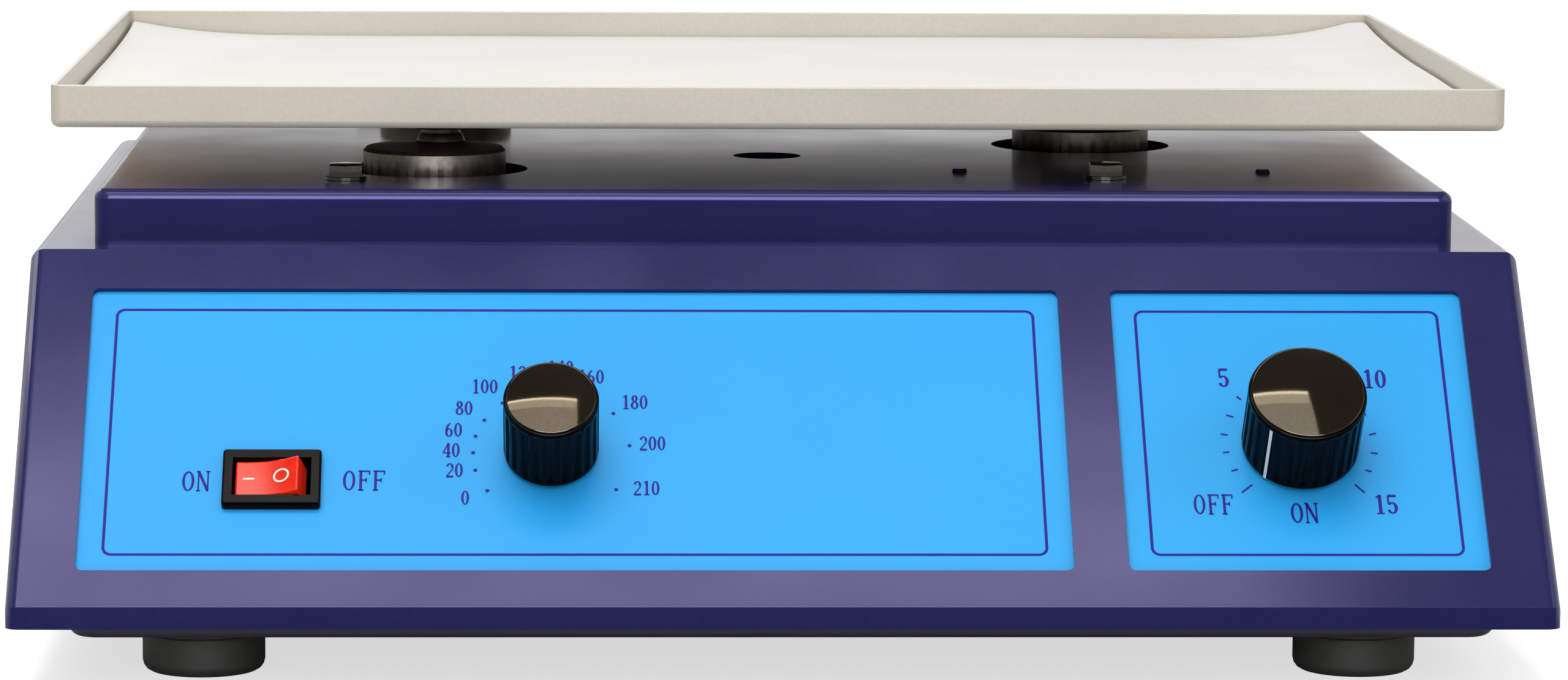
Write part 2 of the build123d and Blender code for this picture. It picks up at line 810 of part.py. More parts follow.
# Cranks: a disc on a shaft, with an eccentric pin that flares out of the disc
shaft_clip_top = barrel_bottom - face_gap
shaft_end = shaft_clip_top - clip_thickness - shaft_tail
pin_clip_bottom = tray_bottom
pin_top = tray_floor - pin_top_drop
journal_shaft = shaft_radius - running_gap
for letter, (x, y) in crank_centres.items():
    radial_plane = Plane(origin=(x, y, 0), x_dir=(1, 0, 0), z_dir=(0, -1, 0))
    crank_axis = Axis((x, y, 0), (0, 0, 1))
    pin_x = x + orbit_offset[0]
    pin_y = y + orbit_offset[1]
    pin_plane = Plane(origin=(pin_x, pin_y, 0), x_dir=(1, 0, 0), z_dir=(0, -1, 0))
    pin_axis = Axis((pin_x, pin_y, 0), (0, 0, 1))
    journal = pin_journal_radius - (running_gap if letter == "a" else open_pivot_gap)
    with BuildPart() as crank:
        with BuildSketch(radial_plane):
            with BuildLine():
                Polyline(
                    (0, shaft_end),
                    (journal_shaft - shaft_bevel, shaft_end),
                    (journal_shaft, shaft_end + shaft_bevel),
                    (journal_shaft, shaft_clip_top - clip_thickness),
                    (journal_shaft - clip_depth, shaft_clip_top - clip_thickness),
                    (journal_shaft - clip_depth, shaft_clip_top),
                    (journal_shaft, shaft_clip_top),
                    (journal_shaft, disc_bottom),
                    (disc_radius, disc_bottom),
                    (disc_radius, disc_top - disc_edge),
                    (disc_radius - disc_edge, disc_top),
                    (0, disc_top),
                    close=True,
                )
            make_face()
        revolve(axis=crank_axis)
        with BuildSketch(pin_plane):
            with BuildLine():
                Line((0, disc_top - disc_edge), (pin_base_radius - disc_edge, disc_top - disc_edge))
                Line((pin_base_radius - disc_edge, disc_top - disc_edge), (pin_base_radius, disc_top))
                RadiusArc(
                    (pin_base_radius, disc_top),
                    (pin_neck_radius, disc_top + pin_flare_height),
                    -2 * pin_flare_height,
                )
                Polyline(
                    (pin_neck_radius, disc_top + pin_flare_height),
                    (pin_neck_radius, pin_bearing_bottom - face_gap),
                    (journal, pin_bearing_bottom - face_gap),
                    (journal, pin_clip_bottom),
                    (journal - clip_depth, pin_clip_bottom),
                    (journal - clip_depth, pin_clip_bottom + clip_thickness),
                    (journal, pin_clip_bottom + clip_thickness),
                    (journal, pin_top),
                    (0, pin_top),
                    (0, disc_top - disc_edge),
                )
            make_face()
        revolve(axis=pin_axis)
    crank.part.label = f"crank_{letter}"
    export_step(crank.part, f"parts/crank_{letter}.step")

    # Clips, with a spacer tube in the pulley's place on the two cranks that are not driven
    with BuildPart() as clips:
        with BuildSketch(Plane.XY.offset(shaft_clip_top - clip_thickness)):
            with Locations((x, y)):
                Circle(journal_shaft + clip_reach)
                Circle(journal_shaft - clip_depth + seat_gap, mode=Mode.SUBTRACT)
        extrude(amount=clip_thickness)
        with BuildSketch(Plane.XY.offset(pin_clip_bottom)):
            with Locations((pin_x, pin_y)):
                Circle(journal + clip_reach)
                Circle(journal - clip_depth + seat_gap, mode=Mode.SUBTRACT)
        extrude(amount=clip_thickness)
        if letter != "a":
            with BuildSketch(Plane.XY.offset(disc_bottom - pulley_height)):
                with Locations((x, y)):
                    Circle(shaft_radius + spacer_wall)
                    Circle(shaft_radius + seat_gap, mode=Mode.SUBTRACT)
            extrude(amount=pulley_height)
    clips.part.label = f"crank_clips_{letter}"
    export_step(clips.part, f"parts/crank_clips_{letter}.step")

# Pulleys: flanged drums over a hub with a set screw
pulley_sizes = {
    "crank_pulley": (crank_centres["a"], crank_drum_radius, shaft_radius, pulley_hub_radius),
    "motor_pulley": (motor_centre, motor_drum_radius, motor_shaft_radius, motor_hub_radius),
}
pulley_bottom = disc_bottom - pulley_height
rim_bottom = disc_bottom - pulley_rim_height
for name, ((x, y), drum, bore, hub) in pulley_sizes.items():
    bore_wall = bore + seat_gap
    with BuildPart() as pulley:
        with BuildSketch(Plane(origin=(x, y, 0), x_dir=(1, 0, 0), z_dir=(0, -1, 0))):
            with BuildLine():
                Polyline(
                    (bore_wall, pulley_bottom),
                    (hub, pulley_bottom),
                    (hub, rim_bottom),
                    (drum + flange_lip, rim_bottom),
                    (drum + flange_lip, rim_bottom + pulley_flange),
                    (drum, rim_bottom + pulley_flange),
                    (drum, disc_bottom - pulley_flange),
                    (drum + flange_lip, disc_bottom - pulley_flange),
                    (drum + flange_lip, disc_bottom),
                    (bore_wall, disc_bottom),
                    close=True,
                )
            make_face()
        revolve(axis=Axis((x, y, 0), (0, 0, 1)))
    pulley.part.label = name
    export_step(pulley.part, f"parts/{name}.step")

# Belt: the tight outline round both drums
with BuildPart() as drive_belt:
    for spare, mode in ((belt_gap + belt_thickness, Mode.ADD), (belt_gap, Mode.SUBTRACT)):
        with BuildSketch(Plane.XY.offset(rim_bottom + pulley_flange + belt_gap)):
            with Locations(crank_centres["a"]):
                Circle(crank_drum_radius + spare)
            with Locations(motor_centre):
                Circle(motor_drum_radius + spare)
            make_hull()
        extrude(amount=pulley_rim_height - 2 * pulley_flange - 2 * belt_gap, mode=mode)
drive_belt.part.label = "drive_belt"
export_step(drive_belt.part, "parts/drive_belt.step")

# Motor: a can under the drive plate, its spindle and armature on one shaft up through the plate
motor_bottom = plate_bottom - motor_height
with BuildPart() as motor:
    with BuildSketch(Plane(origin=(*motor_centre, 0), x_dir=(1, 0, 0), z_dir=(0, -1, 0))):
        with BuildLine():
            Polyline(
                (0, motor_bottom + motor_step),
                (motor_shaft_radius + running_gap, motor_bottom + motor_step),
                (motor_shaft_radius + running_gap, motor_bottom + motor_base),
                (motor_cavity_radius, motor_bottom + motor_base),
                (motor_cavity_radius, plate_bottom - motor_end_bell),
                (motor_shaft_radius + running_gap, plate_bottom - motor_end_bell),
                (motor_shaft_radius + running_gap, plate_top),
                (motor_boss_radius, plate_top),
                (motor_boss_radius, plate_bottom),
                (motor_radius, plate_bottom),
                (motor_radius, motor_bottom + motor_bevel),
                (motor_radius - motor_bevel, motor_bottom),
                (0, motor_bottom),
                close=True,
            )
        make_face()
    revolve(axis=Axis((*motor_centre, 0), (0, 0, 1)))
    with BuildSketch(Plane.XY.offset(plate_bottom)):
        with Locations(motor_centre):
            with PolarLocations(motor_screw_circle_radius, motor_screws_around, start_angle=45):
                Circle(m3_radius + seat_gap)
    extrude(amount=-motor_screw_hole, mode=Mode.SUBTRACT)
motor.part.label = "motor"
export_step(motor.part, "parts/motor.step")

with BuildPart() as motor_screws:
    with BuildSketch(Plane.XY.offset(plate_top)):
        with Locations(motor_centre):
            with PolarLocations(motor_screw_circle_radius, motor_screws_around, start_angle=45):
                Circle(m3_head_radius)
    extrude(amount=m3_head_height)
    with BuildSketch(Plane.XY.offset(plate_top)):
        with Locations(motor_centre):
            with PolarLocations(motor_screw_circle_radius, motor_screws_around, start_angle=45):
                Circle(m3_radius)
    extrude(amount=-(plate_thickness + motor_screw_reach))
motor_screws.part.label = "motor_screws"
export_step(motor_screws.part, "parts/motor_screws.step")

shaft_bottom = motor_bottom + motor_step + face_gap
armature_middle = (motor_bottom + motor_base + plate_bottom - motor_end_bell) / 2
with BuildPart() as motor_shaft:
    with BuildSketch(Plane.XY.offset(shaft_bottom)):
        with Locations(motor_centre):
            Circle(motor_shaft_radius)
    extrude(amount=disc_bottom + motor_shaft_proud - shaft_bottom)
    with BuildSketch(Plane.XY.offset(armature_middle)):
        with Locations(motor_centre):
            Circle(armature_radius)
    extrude(amount=armature_height / 2, both=True)
motor_shaft.part.label = "motor_shaft"
export_step(motor_shaft.part, "parts/motor_shaft.step")

# Tray: folded sheet with a shallow wall and a hole over each crank pin
pin_places = [(x + orbit_offset[0], y + orbit_offset[1]) for x, y in crank_centres.values()]
with BuildPart() as tray:
    with BuildSketch(Plane.XY.offset(tray_bottom)):
        with Locations(tray_centre):
            RectangleRounded(tray_width, tray_depth, tray_corner_radius)
    extrude(amount=tray_height)
    fillet(tray.faces().sort_by(Axis.Z)[0].edges(), tray_fold_radius)
    with BuildSketch(Plane.XY.offset(tray_floor)):
        with Locations(tray_centre):
            RectangleRounded(
                tray_width - 2 * tray_sheet, tray_depth - 2 * tray_sheet, tray_corner_radius - tray_sheet
            )
    extrude(amount=tray_height, mode=Mode.SUBTRACT)
    with BuildSketch(Plane.XY.offset(tray_bottom)):
        with Locations(*pin_places):
            Circle(pin_bearing_radius + cup_hole_margin)
    extrude(amount=tray_sheet, mode=Mode.SUBTRACT)
tray.part.label = "tray"
export_step(tray.part, "parts/tray.step")

with BuildPart() as mat:
    with BuildSketch(Plane.XY.offset(tray_floor)):
        with Locations(tray_centre):
            Rectangle(
                tray_width - 2 * tray_sheet - 2 * mat_margin,
                tray_depth - 2 * tray_sheet - 2 * mat_margin,
            )
    extrude(amount=mat_thickness)
mat.part.label = "mat"
export_step(mat.part, "parts/mat.step")

cup_bottom = pin_bearing_bottom - cup_lip
cup_radius = pin_bearing_radius + cup_wall
with BuildPart() as bearing_cups:
    for pin_x, pin_y in pin_places:
        with BuildSketch(Plane(origin=(pin_x, pin_y, 0), x_dir=(1, 0, 0), z_dir=(0, -1, 0))):
            with BuildLine():
                Polyline(
                    (pin_neck_radius + cup_mouth_gap, cup_bottom),
                    (cup_radius, cup_bottom),
                    (cup_radius, tray_bottom - cup_flange_thickness),
                    (cup_flange_radius, tray_bottom - cup_flange_thickness),
                    (cup_flange_radius, tray_bottom),
                    (pin_bearing_radius + seat_gap, tray_bottom),
                    (pin_bearing_radius + seat_gap, pin_bearing_bottom),
                    (pin_neck_radius + cup_mouth_gap, pin_bearing_bottom),
                    close=True,
                )
            make_face()
        revolve(axis=Axis((pin_x, pin_y, 0), (0, 0, 1)))
bearing_cups.part.label = "bearing_cups"
export_step(bearing_cups.part, "parts/bearing_cups.step")

with BuildPart() as pin_bearings:
    with BuildSketch(Plane.XY.offset(pin_bearing_bottom)):
        with Locations(*pin_places):
            Circle(pin_bearing_radius)
            Circle(pin_journal_radius, mode=Mode.SUBTRACT)
    extrude(amount=pin_bearing_height)
pin_bearings.part.label = "pin_bearings"
export_step(pin_bearings.part, "parts/pin_bearings.step")

# Rocker switch: a hollow body that clips in the panel, with the rocker on two pivot pins
switch_plane = on_slope(switch_side, switch_up, panel_plane)
pivot_plane = Plane(
    origin=switch_plane.from_local_coords((0, 0, -rocker_pivot_drop)),
    x_dir=switch_plane.x_dir,
    z_dir=-switch_plane.y_dir,
)
well_width = 2 * (rocker_half_length + rocker_sweep_gap)
well_height = rocker_width + 2 * rocker_side_gap
well_depth = rocker_pivot_drop + rocker_hub_radius + rocker_well_spare
with BuildPart() as switch_body:
    with BuildSketch(switch_plane):
        RectangleRounded(bezel_width, bezel_height, bezel_corner_radius)
    extrude(amount=bezel_thickness)
    bezel_front = switch_body.faces().sort_by(Axis(switch_plane.origin, switch_plane.z_dir))[-1]
    chamfer(bezel_front.edges(), bezel_bevel)
    with BuildSketch(switch_plane):
        Rectangle(switch_hole_width, switch_hole_height)
    extrude(amount=-(panel_thickness + switch_body_depth))
    with BuildSketch(switch_plane.offset(bezel_thickness)):
        Rectangle(well_width, well_height)
    extrude(amount=-(bezel_thickness + well_depth), mode=Mode.SUBTRACT)
    with BuildSketch(pivot_plane):
        Circle(rocker_pin_radius + running_gap)
    extrude(amount=switch_hole_height / 2 - pivot_wall, both=True, mode=Mode.SUBTRACT)
switch_body.part.label = "switch_body"
export_step(switch_body.part, "parts/switch_body.step")

rocker_plane = Plane(
    origin=pivot_plane.origin,
    x_dir=pivot_plane.x_dir * cos(radians(rocker_tilt)) + pivot_plane.y_dir * sin(radians(rocker_tilt)),
    z_dir=pivot_plane.z_dir,
)
end_height = rocker_pivot_drop + rocker_end_rise
with BuildPart() as rocker:
    with BuildSketch(rocker_plane):
        with BuildLine():
            Polyline(
                (-rocker_half_length, end_height),
                (0, end_height - rocker_dip),
                (rocker_half_length, end_height),
                (rocker_half_length, 0),
                (-rocker_half_length, 0),
                close=True,
            )
        make_face()
        Circle(rocker_hub_radius)
    extrude(amount=rocker_width / 2, both=True)
    with BuildSketch(rocker_plane):
        Circle(rocker_pin_radius)
    extrude(amount=switch_hole_height / 2 - pivot_wall - pivot_end_gap, both=True)
rocker.part.label = "rocker"
export_step(rocker.part, "parts/rocker.step")

with BuildPart() as switch_blades:
    with BuildSketch(switch_plane.offset(-(panel_thickness + switch_body_depth))):
        with GridLocations(switch_hole_width / 3, 0, 3, 1):
            Rectangle(blade_thickness, blade_width)
    extrude(amount=-blade_length)
switch_blades.part.label = "switch_blades"
export_step(switch_blades.part, "parts/switch_blades.step")

# Potentiometer and mechanical timer behind the panels, each held by a nut on its bush
speed_plane = on_slope(speed_side, speed_up, panel_plane)
timer_plane = on_slope(timer_side, timer_up, panel_plane)
spindle_bore = spindle_radius + running_gap
spindle_foot = panel_thickness + spindle_run

with BuildPart() as potentiometer:
    with BuildSketch(speed_plane.offset(-panel_thickness)):
        Circle(pot_radius)
    extrude(amount=-pot_depth)
    with BuildSketch(speed_plane.offset(-panel_thickness)):
        Circle(pot_bush_radius)
    extrude(amount=panel_thickness + bush_length - bush_step)
    with BuildSketch(speed_plane.offset(-(panel_thickness + pot_depth / 2))):
        with Locations((0, -pot_radius)):
            Rectangle(pot_tag_width, 2 * pot_tag_reach)
    extrude(amount=pot_tag_thickness)
    with BuildSketch(speed_plane.offset(-(spindle_foot + face_gap))):
        Circle(spindle_bore)
    extrude(amount=spindle_foot + bush_length, mode=Mode.SUBTRACT)
potentiometer.part.label = "potentiometer"
export_step(potentiometer.part, "parts/potentiometer.step")

with BuildPart() as timer_unit:
    with BuildSketch(timer_plane.offset(-panel_thickness)):
        RectangleRounded(timer_body_width, timer_body_height, timer_corner_radius)
    extrude(amount=-timer_body_depth)
    with BuildSketch(timer_plane.offset(-panel_thickness)):
        Circle(timer_bush_radius)
    extrude(amount=panel_thickness + bush_length - bush_step)
    with BuildSketch(timer_plane.offset(-(spindle_foot + face_gap))):
        Circle(spindle_bore)
    extrude(amount=spindle_foot + bush_length, mode=Mode.SUBTRACT)
timer_unit.part.label = "timer_unit"
export_step(timer_unit.part, "parts/timer_unit.step")

with BuildPart() as bush_nuts:
    for plane, across, bush in (
        (speed_plane, pot_nut_across, pot_bush_radius),
        (timer_plane, timer_nut_across, timer_bush_radius),
    ):
        with BuildSketch(plane):
            RegularPolygon(across / 2, 6, major_radius=False)
            Circle(bush + seat_gap, mode=Mode.SUBTRACT)
        extrude(amount=panel_nut_thickness)
bush_nuts.part.label = "bush_nuts"
export_step(bush_nuts.part, "parts/bush_nuts.step")

# Knobs: fluted skirts over a smooth collar, a hollow for the nut, a bright cap on top
knob_specs = {
    "speed": (speed_plane, speed_knob_radius, speed_flutes),
    "timer": (timer_plane, timer_knob_radius, timer_flutes),
}
knob_top = knob_height - knob_cap_proud
for name, (plane, radius, flutes) in knob_specs.items():
    cap_radius = radius - knob_cap_rim
    with BuildPart() as spindle:
        with BuildSketch(plane.offset(-spindle_foot)):
            Circle(spindle_radius)
        extrude(amount=spindle_foot + spindle_length)
        with BuildSketch(plane.offset(knob_cavity_depth + knob_stand_off)):
            with Locations((0, spindle_radius + spindle_flat)):
                Rectangle(4 * spindle_radius, 2 * spindle_radius)
        extrude(amount=spindle_length, mode=Mode.SUBTRACT)
    spindle.part.label = f"{name}_spindle"
    export_step(spindle.part, f"parts/{name}_spindle.step")

    with BuildPart() as knob:
        with BuildSketch(plane.offset(knob_stand_off)):
            Circle(radius)
        extrude(amount=knob_top - knob_stand_off)
        knob_front = knob.faces().sort_by(Axis(plane.origin, plane.z_dir))[-1]
        fillet(knob_front.edges(), knob_top_radius)
        with BuildSketch(plane.offset(knob_stand_off + knob_collar)):
            with PolarLocations(radius + flute_radius - flute_depth, flutes):
                Circle(flute_radius)
        extrude(amount=knob_top - knob_stand_off - knob_collar - knob_shoulder, mode=Mode.SUBTRACT)
        with BuildSketch(plane.offset(knob_stand_off)):
            Circle(radius - knob_wall)
        extrude(amount=knob_cavity_depth, mode=Mode.SUBTRACT)
        with BuildSketch(plane.offset(knob_stand_off)):
            Circle(spindle_radius + seat_gap)
            with Locations((0, spindle_radius + spindle_flat + seat_gap)):
                Rectangle(4 * spindle_radius, 2 * spindle_radius, mode=Mode.SUBTRACT)
        extrude(amount=spindle_length + spindle_end_gap - knob_stand_off, mode=Mode.SUBTRACT)
        with BuildSketch(plane.offset(knob_top)):
            Circle(cap_radius + seat_gap)
        extrude(amount=-(knob_cap_thickness - knob_cap_proud), mode=Mode.SUBTRACT)
    knob.part.label = f"{name}_knob"
    export_step(knob.part, f"parts/{name}_knob.step")

    with BuildPart() as cap:
        with BuildSketch(plane.offset(knob_height)):
            Circle(cap_radius)
        extrude(amount=-knob_cap_thickness)
        cap_front = cap.faces().sort_by(Axis(plane.origin, plane.z_dir))[-1]
        chamfer(cap_front.edges(), knob_cap_bevel)
    cap.part.label = f"{name}_knob_cap"
    export_step(cap.part, f"parts/{name}_knob_cap.step")

# Mains inlet: flange, socket with three contacts, and the fuse drawer under it
socket_plane = Plane(
    origin=inlet_plane.from_local_coords((0, socket_rise, inlet_flange)),
    x_dir=inlet_plane.x_dir,
    z_dir=inlet_plane.z_dir,
)
with BuildPart() as mains_inlet:
    with BuildSketch(inlet_plane):
        RectangleRounded(inlet_width, inlet_height, inlet_corner_radius)
        with GridLocations(2 * inlet_screw_half_span, 0, 2, 1):
            Circle(m3_radius + seat_gap, mode=Mode.SUBTRACT)
    extrude(amount=inlet_flange)
    with BuildSketch(inlet_plane):
        Rectangle(inlet_body_width, inlet_body_height)
    extrude(amount=-inlet_body_depth)
    with BuildSketch(socket_plane) as socket_outline:
        Rectangle(socket_width, socket_height)
        chamfer(socket_outline.vertices().group_by(Axis.Y)[0], socket_bevel)
    extrude(amount=-socket_depth, mode=Mode.SUBTRACT)
    with BuildSketch(inlet_plane.offset(inlet_flange)):
        with Locations((0, -drawer_drop)):
            Rectangle(drawer_width + 2 * seat_gap, drawer_height + 2 * seat_gap)
    extrude(amount=-(socket_depth + seat_gap), mode=Mode.SUBTRACT)
mains_inlet.part.label = "mains_inlet"
export_step(mains_inlet.part, "parts/mains_inlet.step")

contact_places = [
    (-contact_half_span, -contact_offset),
    (contact_half_span, -contact_offset),
    (0, contact_offset),
]
with BuildPart() as inlet_contacts:
    with BuildSketch(socket_plane.offset(-socket_depth)):
        with Locations(*contact_places):
            Rectangle(contact_width, contact_height)
    extrude(amount=contact_length)
    chamfer(inlet_contacts.faces().group_by(Axis.Y)[-1].edges(), contact_bevel)
    with BuildSketch(inlet_plane.offset(-inlet_body_depth)):
        with Locations((0, socket_rise)):
            with Locations(*contact_places):
                Rectangle(blade_thickness, contact_height)
    extrude(amount=-blade_length)
inlet_contacts.part.label = "inlet_contacts"
export_step(inlet_contacts.part, "parts/inlet_contacts.step")

with BuildPart() as fuse_drawer:
    with BuildSketch(inlet_plane.offset(inlet_flange)):
        with Locations((0, -drawer_drop)):
            Rectangle(drawer_width, drawer_height)
    extrude(amount=-socket_depth)
    with BuildSketch(inlet_plane.offset(inlet_flange)):
        with Locations((0, -drawer_drop + (drawer_height - drawer_grip_height) / 2)):
            Rectangle(drawer_width / 3, drawer_grip_height)
    extrude(amount=-drawer_grip_depth, mode=Mode.SUBTRACT)
fuse_drawer.part.label = "fuse_drawer"
export_step(fuse_drawer.part, "parts/fuse_drawer.step")

inlet_screw_places = [(-inlet_screw_half_span, 0), (inlet_screw_half_span, 0)]
inlet_screws = screws(
    inlet_plane.offset(inlet_flange),
    inlet_screw_places,
    m3_head_radius,
    m3_head_height,
    m3_radius,
    inlet_flange + sheet + inlet_nut_height + screw_tip,
    (panel_nut_across, inlet_nut_height, inlet_flange + sheet),
)
inlet_screws.part.label = "inlet_screws"
export_step(inlet_screws.part, "parts/inlet_screws.step")

# Control board on four standoffs, with a finned heatsink, a capacitor and a terminal block
board_bottom = pan_floor + standoff_height
board_top = board_bottom + board_thickness
hole_span = board_width - 2 * board_hole_inset
hole_rows = board_length - 2 * board_hole_inset
with BuildPart() as control_board:
    with BuildSketch(Plane.XY.offset(board_bottom)):
        with Locations(board_centre):
            RectangleRounded(board_width, board_length, board_corner_radius)
            with GridLocations(hole_span, hole_rows, 2, 2):
                Circle(m3_radius + seat_gap, mode=Mode.SUBTRACT)
    extrude(amount=board_thickness)
control_board.part.label = "control_board"
export_step(control_board.part, "parts/control_board.step")

with BuildPart() as board_standoffs:
    with BuildSketch(Plane.XY.offset(pan_floor)):
        with Locations(board_centre):
            with GridLocations(hole_span, hole_rows, 2, 2):
                Circle(standoff_radius)
    extrude(amount=standoff_height)
    with BuildSketch(Plane.XY.offset(board_bottom)):
        with Locations(board_centre):
            with GridLocations(hole_span, hole_rows, 2, 2):
                Circle(m3_radius)
    extrude(amount=board_thickness + screw_tip)
board_standoffs.part.label = "board_standoffs"
export_step(board_standoffs.part, "parts/board_standoffs.step")

heatsink_place = (board_centre[0] - board_width / 4, board_centre[1] + board_length / 8)
with BuildPart() as heatsink:
    with BuildSketch(Plane.XY.offset(board_top)):
        with Locations(heatsink_place):
            Rectangle(heatsink_width, heatsink_web, align=(Align.CENTER, Align.MAX))
            with GridLocations(heatsink_width / heatsink_fins, 0, heatsink_fins, 1):
                Rectangle(heatsink_fin, heatsink_depth, align=(Align.CENTER, Align.MIN))
    extrude(amount=heatsink_height)
heatsink.part.label = "heatsink"
export_step(heatsink.part, "parts/heatsink.step")

with BuildPart() as board_components:
    with BuildSketch(Plane.XY.offset(board_top)):
        with Locations((board_centre[0] + board_width / 5, board_centre[1] + board_length / 5)):
            Circle(capacitor_radius)
    extrude(amount=capacitor_height)
    with BuildSketch(Plane.XY.offset(board_top)):
        with Locations((board_centre[0], board_centre[1] - board_length / 3)):
            Rectangle(board_width / 2, terminal_depth)
    extrude(amount=terminal_height)
    with BuildSketch(Plane.XY.offset(board_top)):
        with Locations((board_centre[0] + board_width / 5, board_centre[1] - board_length / 16)):
            Rectangle(chip_width, chip_depth)
    extrude(amount=chip_height)
board_components.part.label = "board_components"
export_step(board_components.part, "parts/board_components.step")
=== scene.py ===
"""Dresses the orbital shaker's frame with its shaped pieces, finishes, printed scales and stage.

Metres, in the frame's own axes: X right seen from the controls, Y back, Z up.
"""
import json
from math import atan2, cos, degrees, exp, radians, sin, tau

import bmesh
import bpy
from bpy.props import FloatProperty, FloatVectorProperty, IntProperty, PointerProperty
from mathutils import Matrix, Vector, noise


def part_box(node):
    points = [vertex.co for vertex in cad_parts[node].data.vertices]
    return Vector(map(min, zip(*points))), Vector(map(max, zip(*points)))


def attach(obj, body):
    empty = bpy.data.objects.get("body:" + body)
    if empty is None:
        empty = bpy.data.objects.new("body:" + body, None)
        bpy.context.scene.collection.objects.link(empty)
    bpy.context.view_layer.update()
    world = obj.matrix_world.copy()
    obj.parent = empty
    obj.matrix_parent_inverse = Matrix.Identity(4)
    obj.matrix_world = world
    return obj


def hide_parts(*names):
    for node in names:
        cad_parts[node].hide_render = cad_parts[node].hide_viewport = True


bl_info = {
    "name": "Orbital shaker dressing",
    "version": (1, 0, 0),
    "blender": (4, 5, 0),
    "location": "3D View > Sidebar > Shaker",
    "description": "Builds the visible pieces, finishes and stage of an orbital shaker",
    "category": "Object",
}

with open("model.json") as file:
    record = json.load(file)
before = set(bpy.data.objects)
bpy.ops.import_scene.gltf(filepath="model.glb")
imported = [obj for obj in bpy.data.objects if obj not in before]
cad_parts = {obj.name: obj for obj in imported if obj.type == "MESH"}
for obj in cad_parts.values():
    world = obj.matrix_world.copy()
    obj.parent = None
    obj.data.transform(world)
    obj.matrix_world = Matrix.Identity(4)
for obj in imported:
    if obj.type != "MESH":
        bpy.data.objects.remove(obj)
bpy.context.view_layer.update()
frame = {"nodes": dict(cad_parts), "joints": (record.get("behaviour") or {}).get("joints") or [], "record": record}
NODES = frame["nodes"]
JOINTS = {joint["name"]: joint for joint in frame["joints"]}
BODY_OF_NODE = {
    node: body
    for body, members in frame["record"]["behaviour"]["bodies"].items()
    for node in members
}
SLOT_OF_NODE = {row["node"]: row["material_slot"] for row in frame["record"]["subparts"]}
MM = 0.001
IN_PLACE = Matrix.Identity(4)

# The sloping front: its axes and the panels' face, from the speed knob's joint
ACROSS = Vector((1, 0, 0))
OUT = Vector(JOINTS["speed_knob_turn"]["axis"]).normalized()
UP_SLOPE = OUT.cross(ACROSS)
SPEED_PLACE = (-47.5, 40.5)
TIMER_PLACE = (106.9, 42.3)
ROCKER_PLACE = (-104.45, 32.7)
PANEL_ORIGIN = (
    Vector(JOINTS["speed_knob_turn"]["pos_m"])
    - ACROSS * SPEED_PLACE[0] * MM
    - UP_SLOPE * SPEED_PLACE[1] * MM
)

# Printed ink in mm: how thick it is, and how far it stands off the film
PRINT_DEPTH = 0.04
PRINT_LIFT = 0.01


def on_panel(side, up, out=0.0):
    """The place on the panels' face, in millimetres across, up the slope and out of it."""
    turned = Matrix((ACROSS, UP_SLOPE, OUT)).transposed().to_4x4()
    middle = PANEL_ORIGIN + (ACROSS * side + UP_SLOPE * up + OUT * out) * MM
    return Matrix.Translation(middle) @ turned @ Matrix.Scale(MM, 4)


# Colours and materials


def linear(hex_colour):
    """An sRGB hex colour as linear red, green, blue and alpha."""
    parts = [int(hex_colour[i : i + 2], 16) / 255 for i in (1, 3, 5)]
    return [c / 12.92 if c <= 0.04045 else ((c + 0.055) / 1.055) ** 2.4 for c in parts] + [1.0]


def hex_of(colour, dim=1.0):
    """A setting's colour as a hex value, dimmed."""
    return "#" + "".join(f"{round(255 * c * dim):02X}" for c in colour)


def add_node(tree, kind, inputs=None, **settings):
    """Adds a node, with its settings, and sets or links its inputs."""
    made = tree.nodes.new(kind)
    for key, value in settings.items():
        setattr(made, key, value)
    for key, value in (inputs or {}).items():
        if isinstance(value, bpy.types.NodeSocket):
            tree.links.new(value, made.inputs[key])
        else:
            made.inputs[key].default_value = value
    return made


def blank_finish(name, **sockets):
    """A new material with a principled surface whose plain values are set."""
    material = bpy.data.materials.new(name)
    material.use_nodes = True
    tree = material.node_tree
    surface = tree.nodes["Principled BSDF"]
    for key, value in sockets.items():
        surface.inputs[key.replace("_", " ")].default_value = value
    return material, tree, surface


# The stretch of the grain that runs from dark to light, and of the patches from smooth to rough
TONE_RANGE = (0.12, 0.40)
GLOSS_RANGE = (0.3, 0.7)


